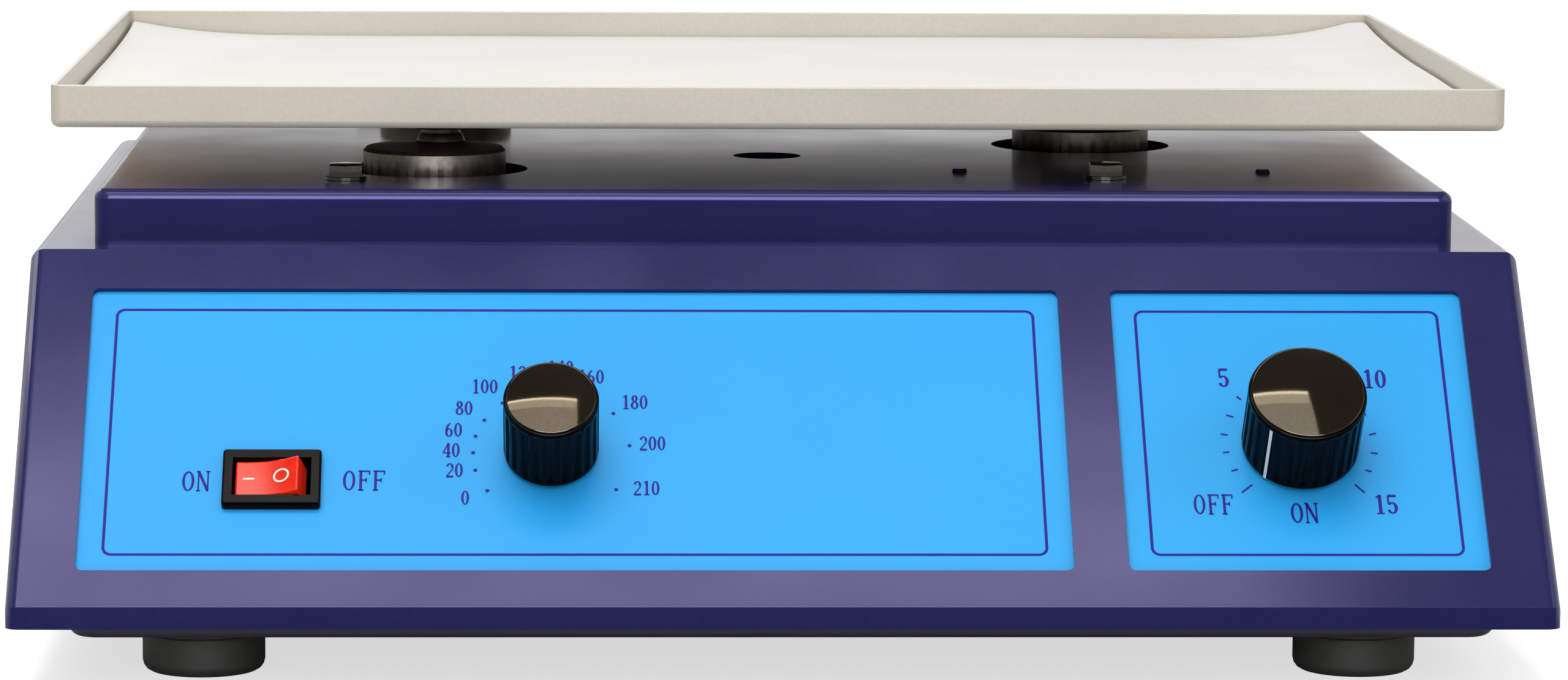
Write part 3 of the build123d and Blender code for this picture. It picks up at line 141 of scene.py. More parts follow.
def speckled_finish(
    name, light, dark, grain, depth, rough, patch=35.0, stretch=(1, 1, 1), **sockets
):
    """A surface with grain of a real size in mm, slow patches of tone and uneven gloss."""
    material, tree, surface = blank_finish(name, **sockets)
    place = add_node(tree, "ShaderNodeTexCoord").outputs["Object"]
    run = add_node(tree, "ShaderNodeMapping", {"Vector": place, "Scale": stretch}).outputs[0]
    grains = add_node(
        tree, "ShaderNodeTexNoise", {"Vector": run, "Scale": 1 / (grain * MM), "Detail": 3.0}
    )
    patches = add_node(
        tree, "ShaderNodeTexNoise", {"Vector": place, "Scale": 1 / (patch * MM), "Detail": 2.0}
    )
    tone = add_node(
        tree,
        "ShaderNodeMath",
        {0: grains.outputs[0], 1: patches.outputs[0]},
        operation="MULTIPLY",
    )
    spread = add_node(
        tree,
        "ShaderNodeMapRange",
        {"Value": tone.outputs[0], "From Min": TONE_RANGE[0], "From Max": TONE_RANGE[1]},
    )
    colour = add_node(
        tree,
        "ShaderNodeMix",
        {0: spread.outputs[0], 6: linear(dark), 7: linear(light)},
        data_type="RGBA",
    )
    tree.links.new(colour.outputs[2], surface.inputs["Base Color"])
    gloss = add_node(
        tree,
        "ShaderNodeMapRange",
        {
            "Value": patches.outputs[0],
            "From Min": GLOSS_RANGE[0],
            "From Max": GLOSS_RANGE[1],
            "To Min": rough[0],
            "To Max": rough[1],
        },
    )
    tree.links.new(gloss.outputs[0], surface.inputs["Roughness"])
    bump = add_node(
        tree,
        "ShaderNodeBump",
        {"Height": grains.outputs[0], "Distance": depth * MM, "Strength": 1.0},
    )
    tree.links.new(bump.outputs[0], surface.inputs["Normal"])
    return material


# A wave texture's rings come 20 to a unit at scale 1; a tool leaves them 0.02 mm deep
WAVE_RATE = 20
RING_DEPTH = 0.02


def turned_finish(name, light, dark, ring, rough, centre):
    """Metal turned on a lathe: fine rings about an upright axis, with oil-dark patches."""
    material = speckled_finish(name, light, dark, 1.2, 0.004, rough, patch=9.0, Metallic=1.0)
    tree = material.node_tree
    surface = tree.nodes["Principled BSDF"]
    place = add_node(tree, "ShaderNodeTexCoord").outputs["Object"]
    about = add_node(
        tree,
        "ShaderNodeMapping",
        {"Vector": place, "Location": (-centre[0], -centre[1], 0.0)},
    )
    rings = add_node(
        tree,
        "ShaderNodeTexWave",
        {"Vector": about.outputs[0], "Scale": 1 / (WAVE_RATE * ring * MM), "Distortion": 0.0},
        wave_type="RINGS",
        rings_direction="Z",
    )
    # The rings take the place of the grain's bump
    tree.nodes.remove(surface.inputs["Normal"].links[0].from_node)
    bump = add_node(
        tree,
        "ShaderNodeBump",
        {"Height": rings.outputs["Fac"], "Distance": RING_DEPTH * MM, "Strength": 0.6},
    )
    tree.links.new(bump.outputs[0], surface.inputs["Normal"])
    return material


FINISHES = {}


def make_finishes(paint):
    """Every finish of the shaker, by the record's slot names."""
    crank = JOINTS["crank_a_spin"]["pos_m"]
    navy, navy_shade = hex_of(paint.housing), hex_of(paint.housing, dim=0.93)
    made = {
        # Gloss powder coat: a hard clear skin with a faint orange peel
        "navy_paint": speckled_finish(
            "gloss navy powder coat", navy, navy_shade, 1.1, 0.004, (0.13, 0.19),
            Specular_IOR_Level=0.32, Specular_Tint=(0.5, 0.5, 1.0, 1.0), IOR=1.5,
        ),
        # Satin powder coat on the bottom dish: duller and darker than the housing above it
        "pan_paint": speckled_finish(
            "satin navy powder coat", "#26253C", "#1E1D32", 0.9, 0.02, (0.38, 0.5), IOR=1.5
        ),
        # Screen-printed polyester film on steel: even colour under a fine velvet grain
        "blue_panel": speckled_finish(
            "azure printed film", hex_of(paint.panel), "#1FA6FA", 0.35, 0.004, (0.42, 0.5),
            patch=60.0, Specular_IOR_Level=0.2, IOR=1.45,
        ),
        # Stoved enamel on folded steel: even beige with a soft shine
        "beige_paint": speckled_finish(
            "beige stoved enamel", hex_of(paint.tray), "#C2BDB0", 0.8, 0.008, (0.3, 0.42),
            patch=70.0, IOR=1.5,
        ),
        # Painted warm shade on the tray's underside: the brown that the deck shows as a reflection
        "warm_painted_shade": speckled_finish(
            "warm painted shade under the tray", "#E7B465", "#CF9A50", 3.0, 0.01, (0.5, 0.6), patch=50.0,
            IOR=1.5,
        ),
        # Moulded silicone: soft white with hardly any shine
        "white_mat": speckled_finish(
            "white silicone sheet", "#F1F2F1", "#E9EBEA", 0.5, 0.02, (0.6, 0.7), IOR=1.42,
            Specular_IOR_Level=0.1,
        ),
        # Moulded rubber: a green-grey black with a dry bloom
        "foot_rubber": speckled_finish(
            "moulded black rubber", "#43453A", "#34362C", 0.6, 0.03, (0.6, 0.75), IOR=1.5
        ),
        # Phenolic polished by its mould: deep black that takes little light
        "black_plastic": speckled_finish(
            "polished black phenolic", "#08080A", "#040405", 0.9, 0.002, (0.14, 0.2),
            Specular_IOR_Level=0.04, IOR=1.55,
        ),
        # Injection-moulded polycarbonate, with a faint painted glow that lifts its red
        "red_plastic": speckled_finish(
            "red polycarbonate with a painted glow", "#F02A12", "#D11E0A", 1.5, 0.004, (0.12, 0.2),
            IOR=1.58, Specular_IOR_Level=0.2, Emission_Color=linear("#FF3A1C"),
            Emission_Strength=0.12,
        ),
        # Spun and anodised: a dark mirror that shows the card overhead
        "knob_cap_metal": speckled_finish(
            "dark anodised aluminium disc", "#413D35", "#39352E", 0.5, 0.0008, (0.05, 0.08),
            Metallic=1.0,
        ),
        # Zinc plate on rolled bar: small mirrors, dark between the lights
        "zinc_steel": speckled_finish(
            "bright zinc-plated steel", "#55554F", "#3E3E3A", 0.4, 0.004, (0.1, 0.18), Metallic=1.0
        ),
        # Turned on a lathe and oiled: fine rings under a brown film
        "turned_steel": turned_finish(
            "turned oiled steel", "#7E786D", "#676157", 0.25, (0.34, 0.44), crank
        ),
        # Ground rings: pale, bright and even
        "bearing_steel": speckled_finish(
            "ground bearing steel", "#B8B8B8", "#9C9C9C", 0.2, 0.002, (0.14, 0.2), Metallic=1.0
        ),
        # Blasted casting: a flat grey that scatters light
        "cast_aluminium": speckled_finish(
            "bead-blasted aluminium casting", "#A7A8A8", "#8B8C8D", 0.5, 0.03, (0.42, 0.55),
            Metallic=1.0,
        ),
        # Extruded rubber: dull black
        "belt_rubber": speckled_finish(
            "black neoprene belt", "#1C1C1C", "#111111", 0.4, 0.02, (0.6, 0.75), IOR=1.5
        ),
        # Stoved enamel on a drawn can: smooth dark grey
        "motor_can": speckled_finish(
            "grey stoved motor enamel", "#4C4D50", "#3C3D40", 1.0, 0.01, (0.35, 0.45), IOR=1.5
        ),
        # Rolled and passivated sheet: a faint grain one way under a straw tint
        "plate_steel": speckled_finish(
            "passivated rolled steel", "#A9A790", "#8C8A74", 0.8, 0.006, (0.3, 0.42),
            stretch=(1, 12, 1), Metallic=1.0,
        ),
        # Solder mask over glass laminate: even green with a soft shine
        "board_laminate": speckled_finish(
            "green solder mask", "#1F6B3C", "#17562F", 2.0, 0.01, (0.3, 0.4), IOR=1.5
        ),
        # Moulded polyamide: satin black
        "dark_plastic": speckled_finish(
            "moulded black polyamide", "#1B1B1D", "#121214", 0.5, 0.02, (0.4, 0.5), IOR=1.53
        ),
        # Stamped strip: yellow metal with a soft gleam
        "contact_brass": speckled_finish(
            "stamped brass", "#C9A860", "#A8894A", 0.6, 0.004, (0.22, 0.3), Metallic=1.0
        ),
        # Screen ink that lies flat on the film: no shine of its own
        "print": speckled_finish(
            "violet printing ink", hex_of(paint.ink), "#2B2496", 0.5, 0.001, (0.45, 0.5),
            IOR=1.5, Specular_IOR_Level=0.08,
        ),
        # Filled marking: flat white
        "white_print": speckled_finish(
            "white filled marking", "#F6F1EC", "#E6DED8", 0.6, 0.002, (0.35, 0.45), IOR=1.5
        ),
    }
    FINISHES.update(made)


# Mesh helpers


def add_piece(mesh, name, finish, body, place=None, sharp=35.0, stands_for=()):
    """Turns a bmesh into a finished piece that rides on a body."""
    if place is not None:
        bmesh.ops.transform(mesh, matrix=place, verts=mesh.verts)
    data = bpy.data.meshes.new(name)
    mesh.to_mesh(data)
    mesh.free()
    data.shade_smooth()
    data.set_sharp_from_angle(angle=radians(sharp))
    piece = bpy.data.objects.new(name, data)
    bpy.context.scene.collection.objects.link(piece)
    data.materials.append(FINISHES[finish])
    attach(piece, body)
    if stands_for:
        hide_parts(*stands_for)
    return piece


# How much a face's size counts in a weighted normal, out of 100
SIZE_WEIGHT = 80


def even_normals(piece):
    """Keeps broad flats flat beside their rounded edges."""
    even = piece.modifiers.new("even normals", "WEIGHTED_NORMAL")
    even.keep_sharp = True
    even.weight = SIZE_WEIGHT


def merged_solid(node):
    """A CAD solid as one joined mesh with its flat faces whole."""
    mesh = bmesh.new()
    mesh.from_mesh(NODES[node].data)
    bmesh.ops.remove_doubles(mesh, verts=mesh.verts, dist=2e-6)
    return mesh


# Degrees within which faces are one, and past which an edge is eased, and the steps of an ease
FLAT, BENT, EASE_STEPS = 0.5, 40, 2


def eased_copy(node, name, ease=0.0):
    """Stands for a CAD solid with smooth curves and its sharp edges eased, in mm."""
    mesh = merged_solid(node)
    if ease:
        bmesh.ops.dissolve_limit(
            mesh, angle_limit=radians(FLAT), verts=mesh.verts, edges=mesh.edges,
            delimit={"NORMAL"},
        )
        edges = [
            edge for edge in mesh.edges
            if len(edge.link_faces) == 2 and edge.calc_face_angle(0) > radians(BENT)
        ]
        bmesh.ops.bevel(
            mesh, geom=edges, offset=ease * MM, offset_type="OFFSET", affect="EDGES",
            segments=EASE_STEPS, profile=0.5, material=-1, clamp_overlap=True,
        )
    piece = add_piece(mesh, name, SLOT_OF_NODE[node], BODY_OF_NODE[node], stands_for=(node,))
    even_normals(piece)
    return piece


def spun(points, steps=96):
    """A turned shape in mm: (radius, height) pairs spun round Z, closed where it meets the axis."""
    mesh = bmesh.new()
    line = [mesh.verts.new((radius, 0, height)) for radius, height in points]
    edges = [mesh.edges.new(pair) for pair in zip(line, line[1:])]
    bmesh.ops.spin(
        mesh, geom=line + edges, cent=(0, 0, 0), axis=(0, 0, 1), angle=tau, steps=steps,
        use_merge=True, dvec=(0, 0, 0),
    )
    bmesh.ops.remove_doubles(mesh, verts=mesh.verts, dist=1e-4)
    bmesh.ops.recalc_face_normals(mesh, faces=mesh.faces)
    return mesh


def join_into(mesh, other, place):
    """Adds another bmesh, moved to its place, to the first one."""
    bmesh.ops.transform(other, matrix=place, verts=other.verts)
    data = bpy.data.meshes.new("part of a piece")
    other.to_mesh(data)
    other.free()
    mesh.from_mesh(data)
    bpy.data.meshes.remove(data)


def thicken(mesh, depth):
    """Gives faces a thickness along Z."""
    made = bmesh.ops.extrude_face_region(mesh, geom=mesh.faces[:])["geom"]
    moved = [part for part in made if isinstance(part, bmesh.types.BMVert)]
    bmesh.ops.translate(mesh, vec=(0, 0, depth), verts=moved)
    bmesh.ops.recalc_face_normals(mesh, faces=mesh.faces)


def hollow_out(mesh, line):
    """Leaves only a rim of flat faces, as wide as the line."""
    inner = mesh.faces[:]
    bmesh.ops.inset_region(mesh, faces=inner, thickness=line, use_boundary=True)
    bmesh.ops.delete(mesh, geom=inner, context="FACES")


def bowl(middle, reach, start, end, thick, thin):
    """A round stroke of a letter: part of an oval, thick at its sides and thin at top and foot."""
    mesh = bmesh.new()
    rim = bmesh.ops.create_circle(mesh, cap_ends=True, segments=36, radius=1.0)["verts"]
    outline = set(rim)
    hollow_out(mesh, 0.2)
    for vert in mesh.verts:
        angle = atan2(vert.co.y, vert.co.x)
        wide, tall = reach
        if vert not in outline:
            wide, tall = wide - thick, tall - thin
        vert.co = (middle[0] + cos(angle) * wide, middle[1] + sin(angle) * tall, 0)
    outside = []
    for face in mesh.faces:
        place = face.calc_center_median()
        across = (place.x - middle[0]) / reach[0]
        above = (place.y - middle[1]) / reach[1]
        angle = degrees(atan2(above, across))
        if (angle - start) % 360 > end - start:
            outside.append(face)
    bmesh.ops.delete(mesh, geom=outside, context="FACES")
    return mesh


# Letters of height 1, with broad and fine strokes, and the step from one to the next. A stroke
# is its two ends and its width. A bowl is its middle, its reach and its two ends in degrees.
BROAD, FINE = 0.135, 0.075
DIGIT_STEP, LETTER_STEP = 0.5, 0.72
LETTERS = {
    "0": [((0.25, 0.5), (0.22, 0.49), 0, 360)],
    "1": [((0.27, 0), (0.27, 1), BROAD), ((0.12, 0.85), (0.27, 0.97), FINE),
          ((0.12, 0.03), (0.42, 0.03), FINE)],
    "2": [((0.25, 0.72), (0.21, 0.27), -25, 165), ((0.42, 0.6), (0.07, 0.06), FINE),
          ((0.05, 0.05), (0.45, 0.05), BROAD)],
    "4": [((0.33, 0.97), (0.05, 0.3), FINE), ((0.03, 0.3), (0.47, 0.3), FINE),
          ((0.34, 0), (0.34, 1), BROAD), ((0.22, 0.03), (0.46, 0.03), FINE)],
    "5": [((0.1, 0.95), (0.42, 0.95), BROAD), ((0.1, 0.97), (0.1, 0.52), FINE),
          ((0.24, 0.32), (0.22, 0.31), -155, 130)],
    "6": [((0.25, 0.3), (0.21, 0.3), 0, 360), ((0.38, 0.4), (0.34, 0.59), 95, 185)],
    "8": [((0.25, 0.75), (0.18, 0.24), 0, 360), ((0.25, 0.27), (0.22, 0.27), 0, 360)],
    "O": [((0.34, 0.5), (0.3, 0.49), 0, 360)],
    "N": [((0.12, 0), (0.12, 1), FINE), ((0.12, 0.98), (0.58, 0.02), BROAD),
          ((0.58, 0), (0.58, 1), FINE), ((0.02, 0.97), (0.2, 0.97), FINE),
          ((0.02, 0.03), (0.22, 0.03), FINE), ((0.48, 0.97), (0.68, 0.97), FINE)],
    "F": [((0.18, 0), (0.18, 1), BROAD), ((0.06, 0.96), (0.6, 0.96), FINE),
          ((0.6, 0.98), (0.6, 0.78), FINE), ((0.18, 0.52), (0.44, 0.52), FINE),
          ((0.44, 0.62), (0.44, 0.42), FINE), ((0.06, 0.03), (0.32, 0.03), FINE)],
}


def lettering(words, height, width):
    """Generic lettering with fine and broad strokes, centred, in mm."""
    mesh = bmesh.new()
    along = 0.0
    for letter in words:
        step = Matrix.Translation((along, 0, 0))
        for stroke in LETTERS[letter]:
            straight = len(stroke) == 3
            part = strip(*stroke, flat=True) if straight else bowl(*stroke, BROAD, FINE)
            join_into(mesh, part, step)
        along += DIGIT_STEP if letter.isdigit() else LETTER_STEP
    fit = Matrix.Diagonal((width / along, height, 1, 1))
    bmesh.ops.transform(
        mesh, matrix=fit @ Matrix.Translation((-along / 2, -0.5, 0)), verts=mesh.verts
    )
    thicken(mesh, PRINT_DEPTH)
    return mesh


def strip(start, end, width, flat=False):
    """A printed stroke between two places on the panel, in mm."""
    mesh = bmesh.new()
    bmesh.ops.create_grid(mesh, x_segments=1, y_segments=1, size=0.5)
    run = Vector(end) - Vector(start)
    middle = (Vector(end) + Vector(start)) / 2
    place = (
        Matrix.Translation((middle.x, middle.y, 0))
        @ Matrix.Rotation(atan2(run.y, run.x), 4, "Z")
        @ Matrix.Diagonal((run.length, width, 1, 1))
    )
    bmesh.ops.transform(mesh, matrix=place, verts=mesh.verts)
    if not flat:
        thicken(mesh, PRINT_DEPTH)
    return mesh


def dot(radius):
    """A printed dot in mm."""
    mesh = bmesh.new()
    bmesh.ops.create_circle(mesh, cap_ends=True, segments=20, radius=radius)
    thicken(mesh, PRINT_DEPTH)
    return mesh


def border(width, height, radius, line):
    """A printed line round a panel with round corners, in mm."""
    mesh = bmesh.new()
    bmesh.ops.create_grid(mesh, x_segments=1, y_segments=1, size=0.5)
    bmesh.ops.transform(mesh, matrix=Matrix.Diagonal((width, height, 1, 1)), verts=mesh.verts)
    bmesh.ops.bevel(
        mesh, geom=mesh.verts[:], offset=radius, affect="VERTICES", segments=8, profile=0.5,
        material=-1,
    )
    hollow_out(mesh, line)
    thicken(mesh, PRINT_DEPTH)
    return mesh


# What a user may change


class ShakerPaint(bpy.types.PropertyGroup):
    """Colours, as sRGB values."""

    housing: FloatVectorProperty(
        name="Housing", description="Colour of the housing's paint", subtype="COLOR_GAMMA",
        default=(0.160, 0.160, 0.365), min=0.0, max=1.0,
    )
    panel: FloatVectorProperty(
        name="Panels", description="Colour of the printed panels", subtype="COLOR_GAMMA",
        default=(0.14, 0.685, 0.99), min=0.0, max=1.0,
    )
    tray: FloatVectorProperty(
        name="Tray", description="Colour of the tray's enamel", subtype="COLOR_GAMMA",
        default=(0.80, 0.775, 0.72), min=0.0, max=1.0,
    )
    ink: FloatVectorProperty(
        name="Ink", description="Colour of the printed scales", subtype="COLOR_GAMMA",
        default=(0.17, 0.12, 0.56), min=0.0, max=1.0,
    )


class ShakerSizes(bpy.types.PropertyGroup):
    """Sizes of the shaped pieces."""

    speed_flutes: IntProperty(
        name="Speed flutes", description="Flutes round the speed knob", default=22, min=8, max=60
    )
    timer_flutes: IntProperty(
        name="Timer flutes", description="Flutes round the timer knob", default=28, min=8, max=60
    )
    flute_depth: FloatProperty(
        name="Flute depth", description="Depth of a knob's flutes, in millimetres", default=0.5,
        min=0.0, max=1.0,
    )
    curl: FloatProperty(
        name="Mat curl", description="How far the mat's back corners stand up", default=4.2 * MM,
        min=0.0, max=0.005, subtype="DISTANCE", unit="LENGTH",
    )


class ShakerStage(bpy.types.PropertyGroup):
    """Light and camera."""

    lens: FloatProperty(
        name="Lens", description="Focal length in millimetres on a 36 mm sensor", default=137.25,
        min=20.0, max=400.0,
    )
    card_strength: FloatProperty(
        name="Overhead card", description="Strength of the card over the knobs", default=4.3,
        min=0.0, max=20.0,
    )
    surround: FloatProperty(
        name="Surround", description="Strength of the plain surround", default=0.34, min=0.0,
        max=2.0,
    )


# Pieces


# The tray's lowest 0.1 mm, its underside, takes the painted warm shade
PAINTED_SHADE_BAND = 0.1


class SHAKER_OT_solids(bpy.types.Operator):
    """Finish the folded metal and every inner solid"""

    bl_idname = "shaker.solids"
    bl_label = "Housing, tray and inner solids"

    def execute(self, context):
        make_finishes(context.scene.shaker_paint)
        for name, node in NODES.items():
            node.data.materials.clear()
            # The rivet heads are painted over with the housing
            painted_with = "housing" if name == "brace_rivets" else name
            node.data.materials.append(FINISHES[SLOT_OF_NODE[painted_with]])
        eased_copy("housing", "housing_shell", ease=0.25)
        tray = eased_copy("tray", "tray_shell", ease=0.25)
        # The underside faces carry the painted warm shade
        tray.data.materials.append(FINISHES["warm_painted_shade"])
        underside = min(vertex.co.z for vertex in tray.data.vertices) + PAINTED_SHADE_BAND * MM
        for face in tray.data.polygons:
            if face.center.z < underside:
                face.material_index = 1
        eased_copy("base_pan", "pan_shell", ease=0.2)
        for letter in "abc":
            eased_copy(f"crank_{letter}", f"crank_{letter}_turned")
            eased_copy(f"bearing_housing_{letter}", f"bearing_housing_{letter}_cast")
        for node in ("bearing_cups", "motor", "motor_pulley", "crank_pulley", "drive_plate"):
            eased_copy(node, f"{node}_smooth")
        return {"FINISHED"}


# Printed borders, numerals, dots and ticks, in mm
BORDER_HEIGHT, BORDER_UP, BORDER_RADIUS, BORDER_LINE = 64.4, 46.0, 2.0, 0.6
NUMERAL_HEIGHT, NUMERAL_WIDTH = 3.7, 1.85
DOT_RADIUS, TICK_WIDTH = 0.42, 0.4


class SHAKER_OT_prints(bpy.types.Operator):
    """Print the borders, scales and words on the two panels"""

    bl_idname = "shaker.prints"
    bl_label = "Printed scales"

    def execute(self, context):
        panels = on_panel(0, 0, PRINT_LIFT)
        mesh = bmesh.new()
        for middle, width in ((-42.35, 191.9), (106.6, 64.2)):
            line = border(width, BORDER_HEIGHT, BORDER_RADIUS, BORDER_LINE)
            join_into(mesh, line, Matrix.Translation((middle, BORDER_UP, 0)))
        add_piece(mesh, "border_lines", "print", "base", panels)

        mesh = bmesh.new()
        speed_numbers = [
            ("0", -65.0, 28.6), ("20", -67.3, 35.7), ("40", -68.0, 40.9), ("60", -67.6, 46.2),
            ("80", -65.5, 51.9), ("100", -61.3, 57.6), ("120", -53.6, 61.2), ("140", -45.6, 62.6),
            ("160", -39.3, 60.2), ("180", -30.3, 53.5), ("200", -26.7, 42.7), ("210", -28.0, 31.1),
        ]
        for words, side, up in speed_numbers:
            numeral = lettering(words, NUMERAL_HEIGHT, NUMERAL_WIDTH * len(words))
            join_into(mesh, numeral, Matrix.Translation((side, up, 0)))
        for side, up in (
            (-60.5, 30.4), (-63.0, 35.7), (-63.5, 40.2), (-63.05, 44.5), (-61.3, 48.7),
            (-57.6, 53.2), (-52.4, 56.2), (-46.9, 57.0), (-40.4, 55.2), (-34.7, 50.5),
            (-31.4, 42.1), (-34.2, 30.7),
        ):
            join_into(mesh, dot(DOT_RADIUS), Matrix.Translation((side, up, 0)))
        add_piece(mesh, "speed_scale", "print", "base", panels)

        mesh = bmesh.new()
        for words, side, up, tall, wide in (
            ("ON", -119.9, 32.8, 5.2, 6.0), ("OFF", -85.6, 33.0, 5.2, 9.1),
            ("5", 92.3, 60.1, 4.9, 2.6), ("10", 123.8, 59.9, 4.9, 5.2),
            ("15", 123.5, 27.0, 4.9, 5.2), ("OFF", 88.1, 27.0, 5.2, 8.6),
            ("ON", 106.6, 24.8, 5.2, 6.0),
        ):
            join_into(mesh, lettering(words, tall, wide), Matrix.Translation((side, up, 0)))
        for start, end in (
            ((96.35, 32.08), (94.1, 30.05)), ((92.3, 35.6), (93.7, 36.1)),
            ((90.9, 40.4), (92.2, 40.6)), ((90.7, 45.3), (92.2, 45.0)),
            ((92.2, 50.3), (93.7, 49.7)), ((94.7, 55.2), (95.6, 54.3)),
            ((120.0, 50.0), (121.4, 50.5)), ((121.5, 45.1), (123.0, 45.5)),
            ((121.5, 40.4), (122.9, 40.2)), ((120.0, 35.9), (121.3, 35.5)),
            ((117.5, 32.2), (119.4, 30.0)), ((118.2, 54.3), (119.1, 55.2)),
        ):
            join_into(mesh, strip(start, end, TICK_WIDTH), IN_PLACE)
        add_piece(mesh, "words_and_timer_scale", "print", "base", panels)
        return {"FINISHED"}


# Both knobs, in mm: the spindle's bore, the skirt's wall, and the disc's and the line's sizes
KNOB_BORE, KNOB_WALL, KNOB_TOP = 3.05, 2.1, 17.6
DISC_INSET, DISC_TOP = 0.6, 18.0
POINTER_START, POINTER_END, POINTER_WIDTH, POINTER_SINK = 0.9, 16.6, 0.7, 0.02

# Facets round one flute, and the power that makes a flute rounder than a cosine wave
FLUTE_FACETS, FLUTE_SHAPE = 10, 0.7


def fluted_knob(radius, flutes, depth):
    """A knob's skirt in mm: a bored hub, a smooth collar, flutes and a shouldered top."""
    mesh = bmesh.new()
    ring = bmesh.ops.create_circle(mesh, segments=flutes * FLUTE_FACETS, radius=1.0)["verts"]
    edges = mesh.edges[:]
    cap = radius - 0.55
    inside = radius - KNOB_WALL
    # The skirt's outline from its bore outwards: radius, height, and how deep the flutes are there
    levels = [
        (KNOB_BORE, 14.3, 0), (KNOB_BORE, 6.2, 0), (inside, 6.2, 0), (inside, 1.0, 0),
        (radius - 1.9, 0.8, 0), (radius - 0.35, 0.8, 0), (radius, 1.15, 0), (radius, 2.2, 0),
        (radius, 2.35, 0.25), (radius, 2.7, 0.8), (radius, 3.2, 1), (radius, 9.5, 1),
        (radius, 15.6, 1), (radius, 16.1, 0.8), (radius, 16.4, 0.25), (radius, 16.5, 0),
        (radius, 17.1, 0), (radius - 0.1, 17.4, 0), (radius - 0.3, 17.58, 0), (cap, KNOB_TOP, 0),
        (cap, 17.2, 0),
    ]
    for index, (wide, height, flute) in enumerate(levels):
        if index:
            made = bmesh.ops.extrude_edge_only(mesh, edges=edges)["geom"]
            ring = [part for part in made if isinstance(part, bmesh.types.BMVert)]
            held = set(ring)
            edges = [
                part for part in made
                if isinstance(part, bmesh.types.BMEdge) and held.issuperset(part.verts)
            ]
        for vert in ring:
            angle = atan2(vert.co.y, vert.co.x)
            hollow = max(0.0, cos(angle * flutes)) ** FLUTE_SHAPE
            reach = wide - depth * flute * hollow
            vert.co = Vector((cos(angle) * reach, sin(angle) * reach, height))
    bmesh.ops.holes_fill(mesh, edges=mesh.edges, sides=0)
    bmesh.ops.recalc_face_normals(mesh, faces=mesh.faces)
    return mesh


class SHAKER_OT_knobs(bpy.types.Operator):
    """Shape the two fluted knobs with their anodised discs and pointer lines"""

    bl_idname = "shaker.knobs"
    bl_label = "Knobs"

    def execute(self, context):
        sizes = context.scene.shaker_sizes
        for name, place, radius, flutes, pointer in (
            ("speed", SPEED_PLACE, 9.75, sizes.speed_flutes, 90.0),
            ("timer", TIMER_PLACE, 12.15, sizes.timer_flutes, -131.5),
        ):
            body = f"{name}_knob"
            here = on_panel(*place) @ Matrix.Rotation(radians(pointer), 4, "Z")
            skirt = fluted_knob(radius, flutes, sizes.flute_depth)
            add_piece(
                skirt, f"{name}_skirt", "black_plastic", body, here, sharp=40,
                stands_for=(f"{name}_knob",),
            )
            cap = radius - DISC_INSET
            disc = spun(
                [
                    (0, 17.22), (cap - 0.1, 17.22), (cap, 17.3), (cap, 17.78), (cap - 0.08, 17.92),
                    (cap - 0.22, DISC_TOP), (0, DISC_TOP),
                ],
                steps=128,
            )
            add_piece(
                disc, f"{name}_disc", "knob_cap_metal", body, here, stands_for=(f"{name}_knob_cap",)
            )
            line = strip((POINTER_START, 0), (POINTER_END, 0), POINTER_WIDTH)
            upright = (
                Matrix.Translation((radius - POINTER_SINK, 0, 0))
                @ Matrix.Rotation(radians(-90), 4, "Y")
                @ Matrix.Scale(-1, 4, (0, 0, 1))
            )
            bmesh.ops.transform(line, matrix=upright, verts=line.verts)
            bmesh.ops.recalc_face_normals(line, faces=line.faces)
            add_piece(line, f"{name}_pointer", "white_print", body, here)
        return {"FINISHED"}


# The rocker, in mm and degrees: its pivot behind the panels, its half width, pins and marks
ROCKER_TILT, ROCKER_DEPTH, ROCKER_HALF = 10.0, 3.5, 4.5
PIN_RADIUS, PIN_REACH = 0.96, 5.9
MARK_HEIGHT, MARK_SLOPE = 5.24, 9
BAR_HALF, BAR_WIDTH = 1.35, 0.42
RING_RADIUS, RING_LINE = 1.75, 0.45


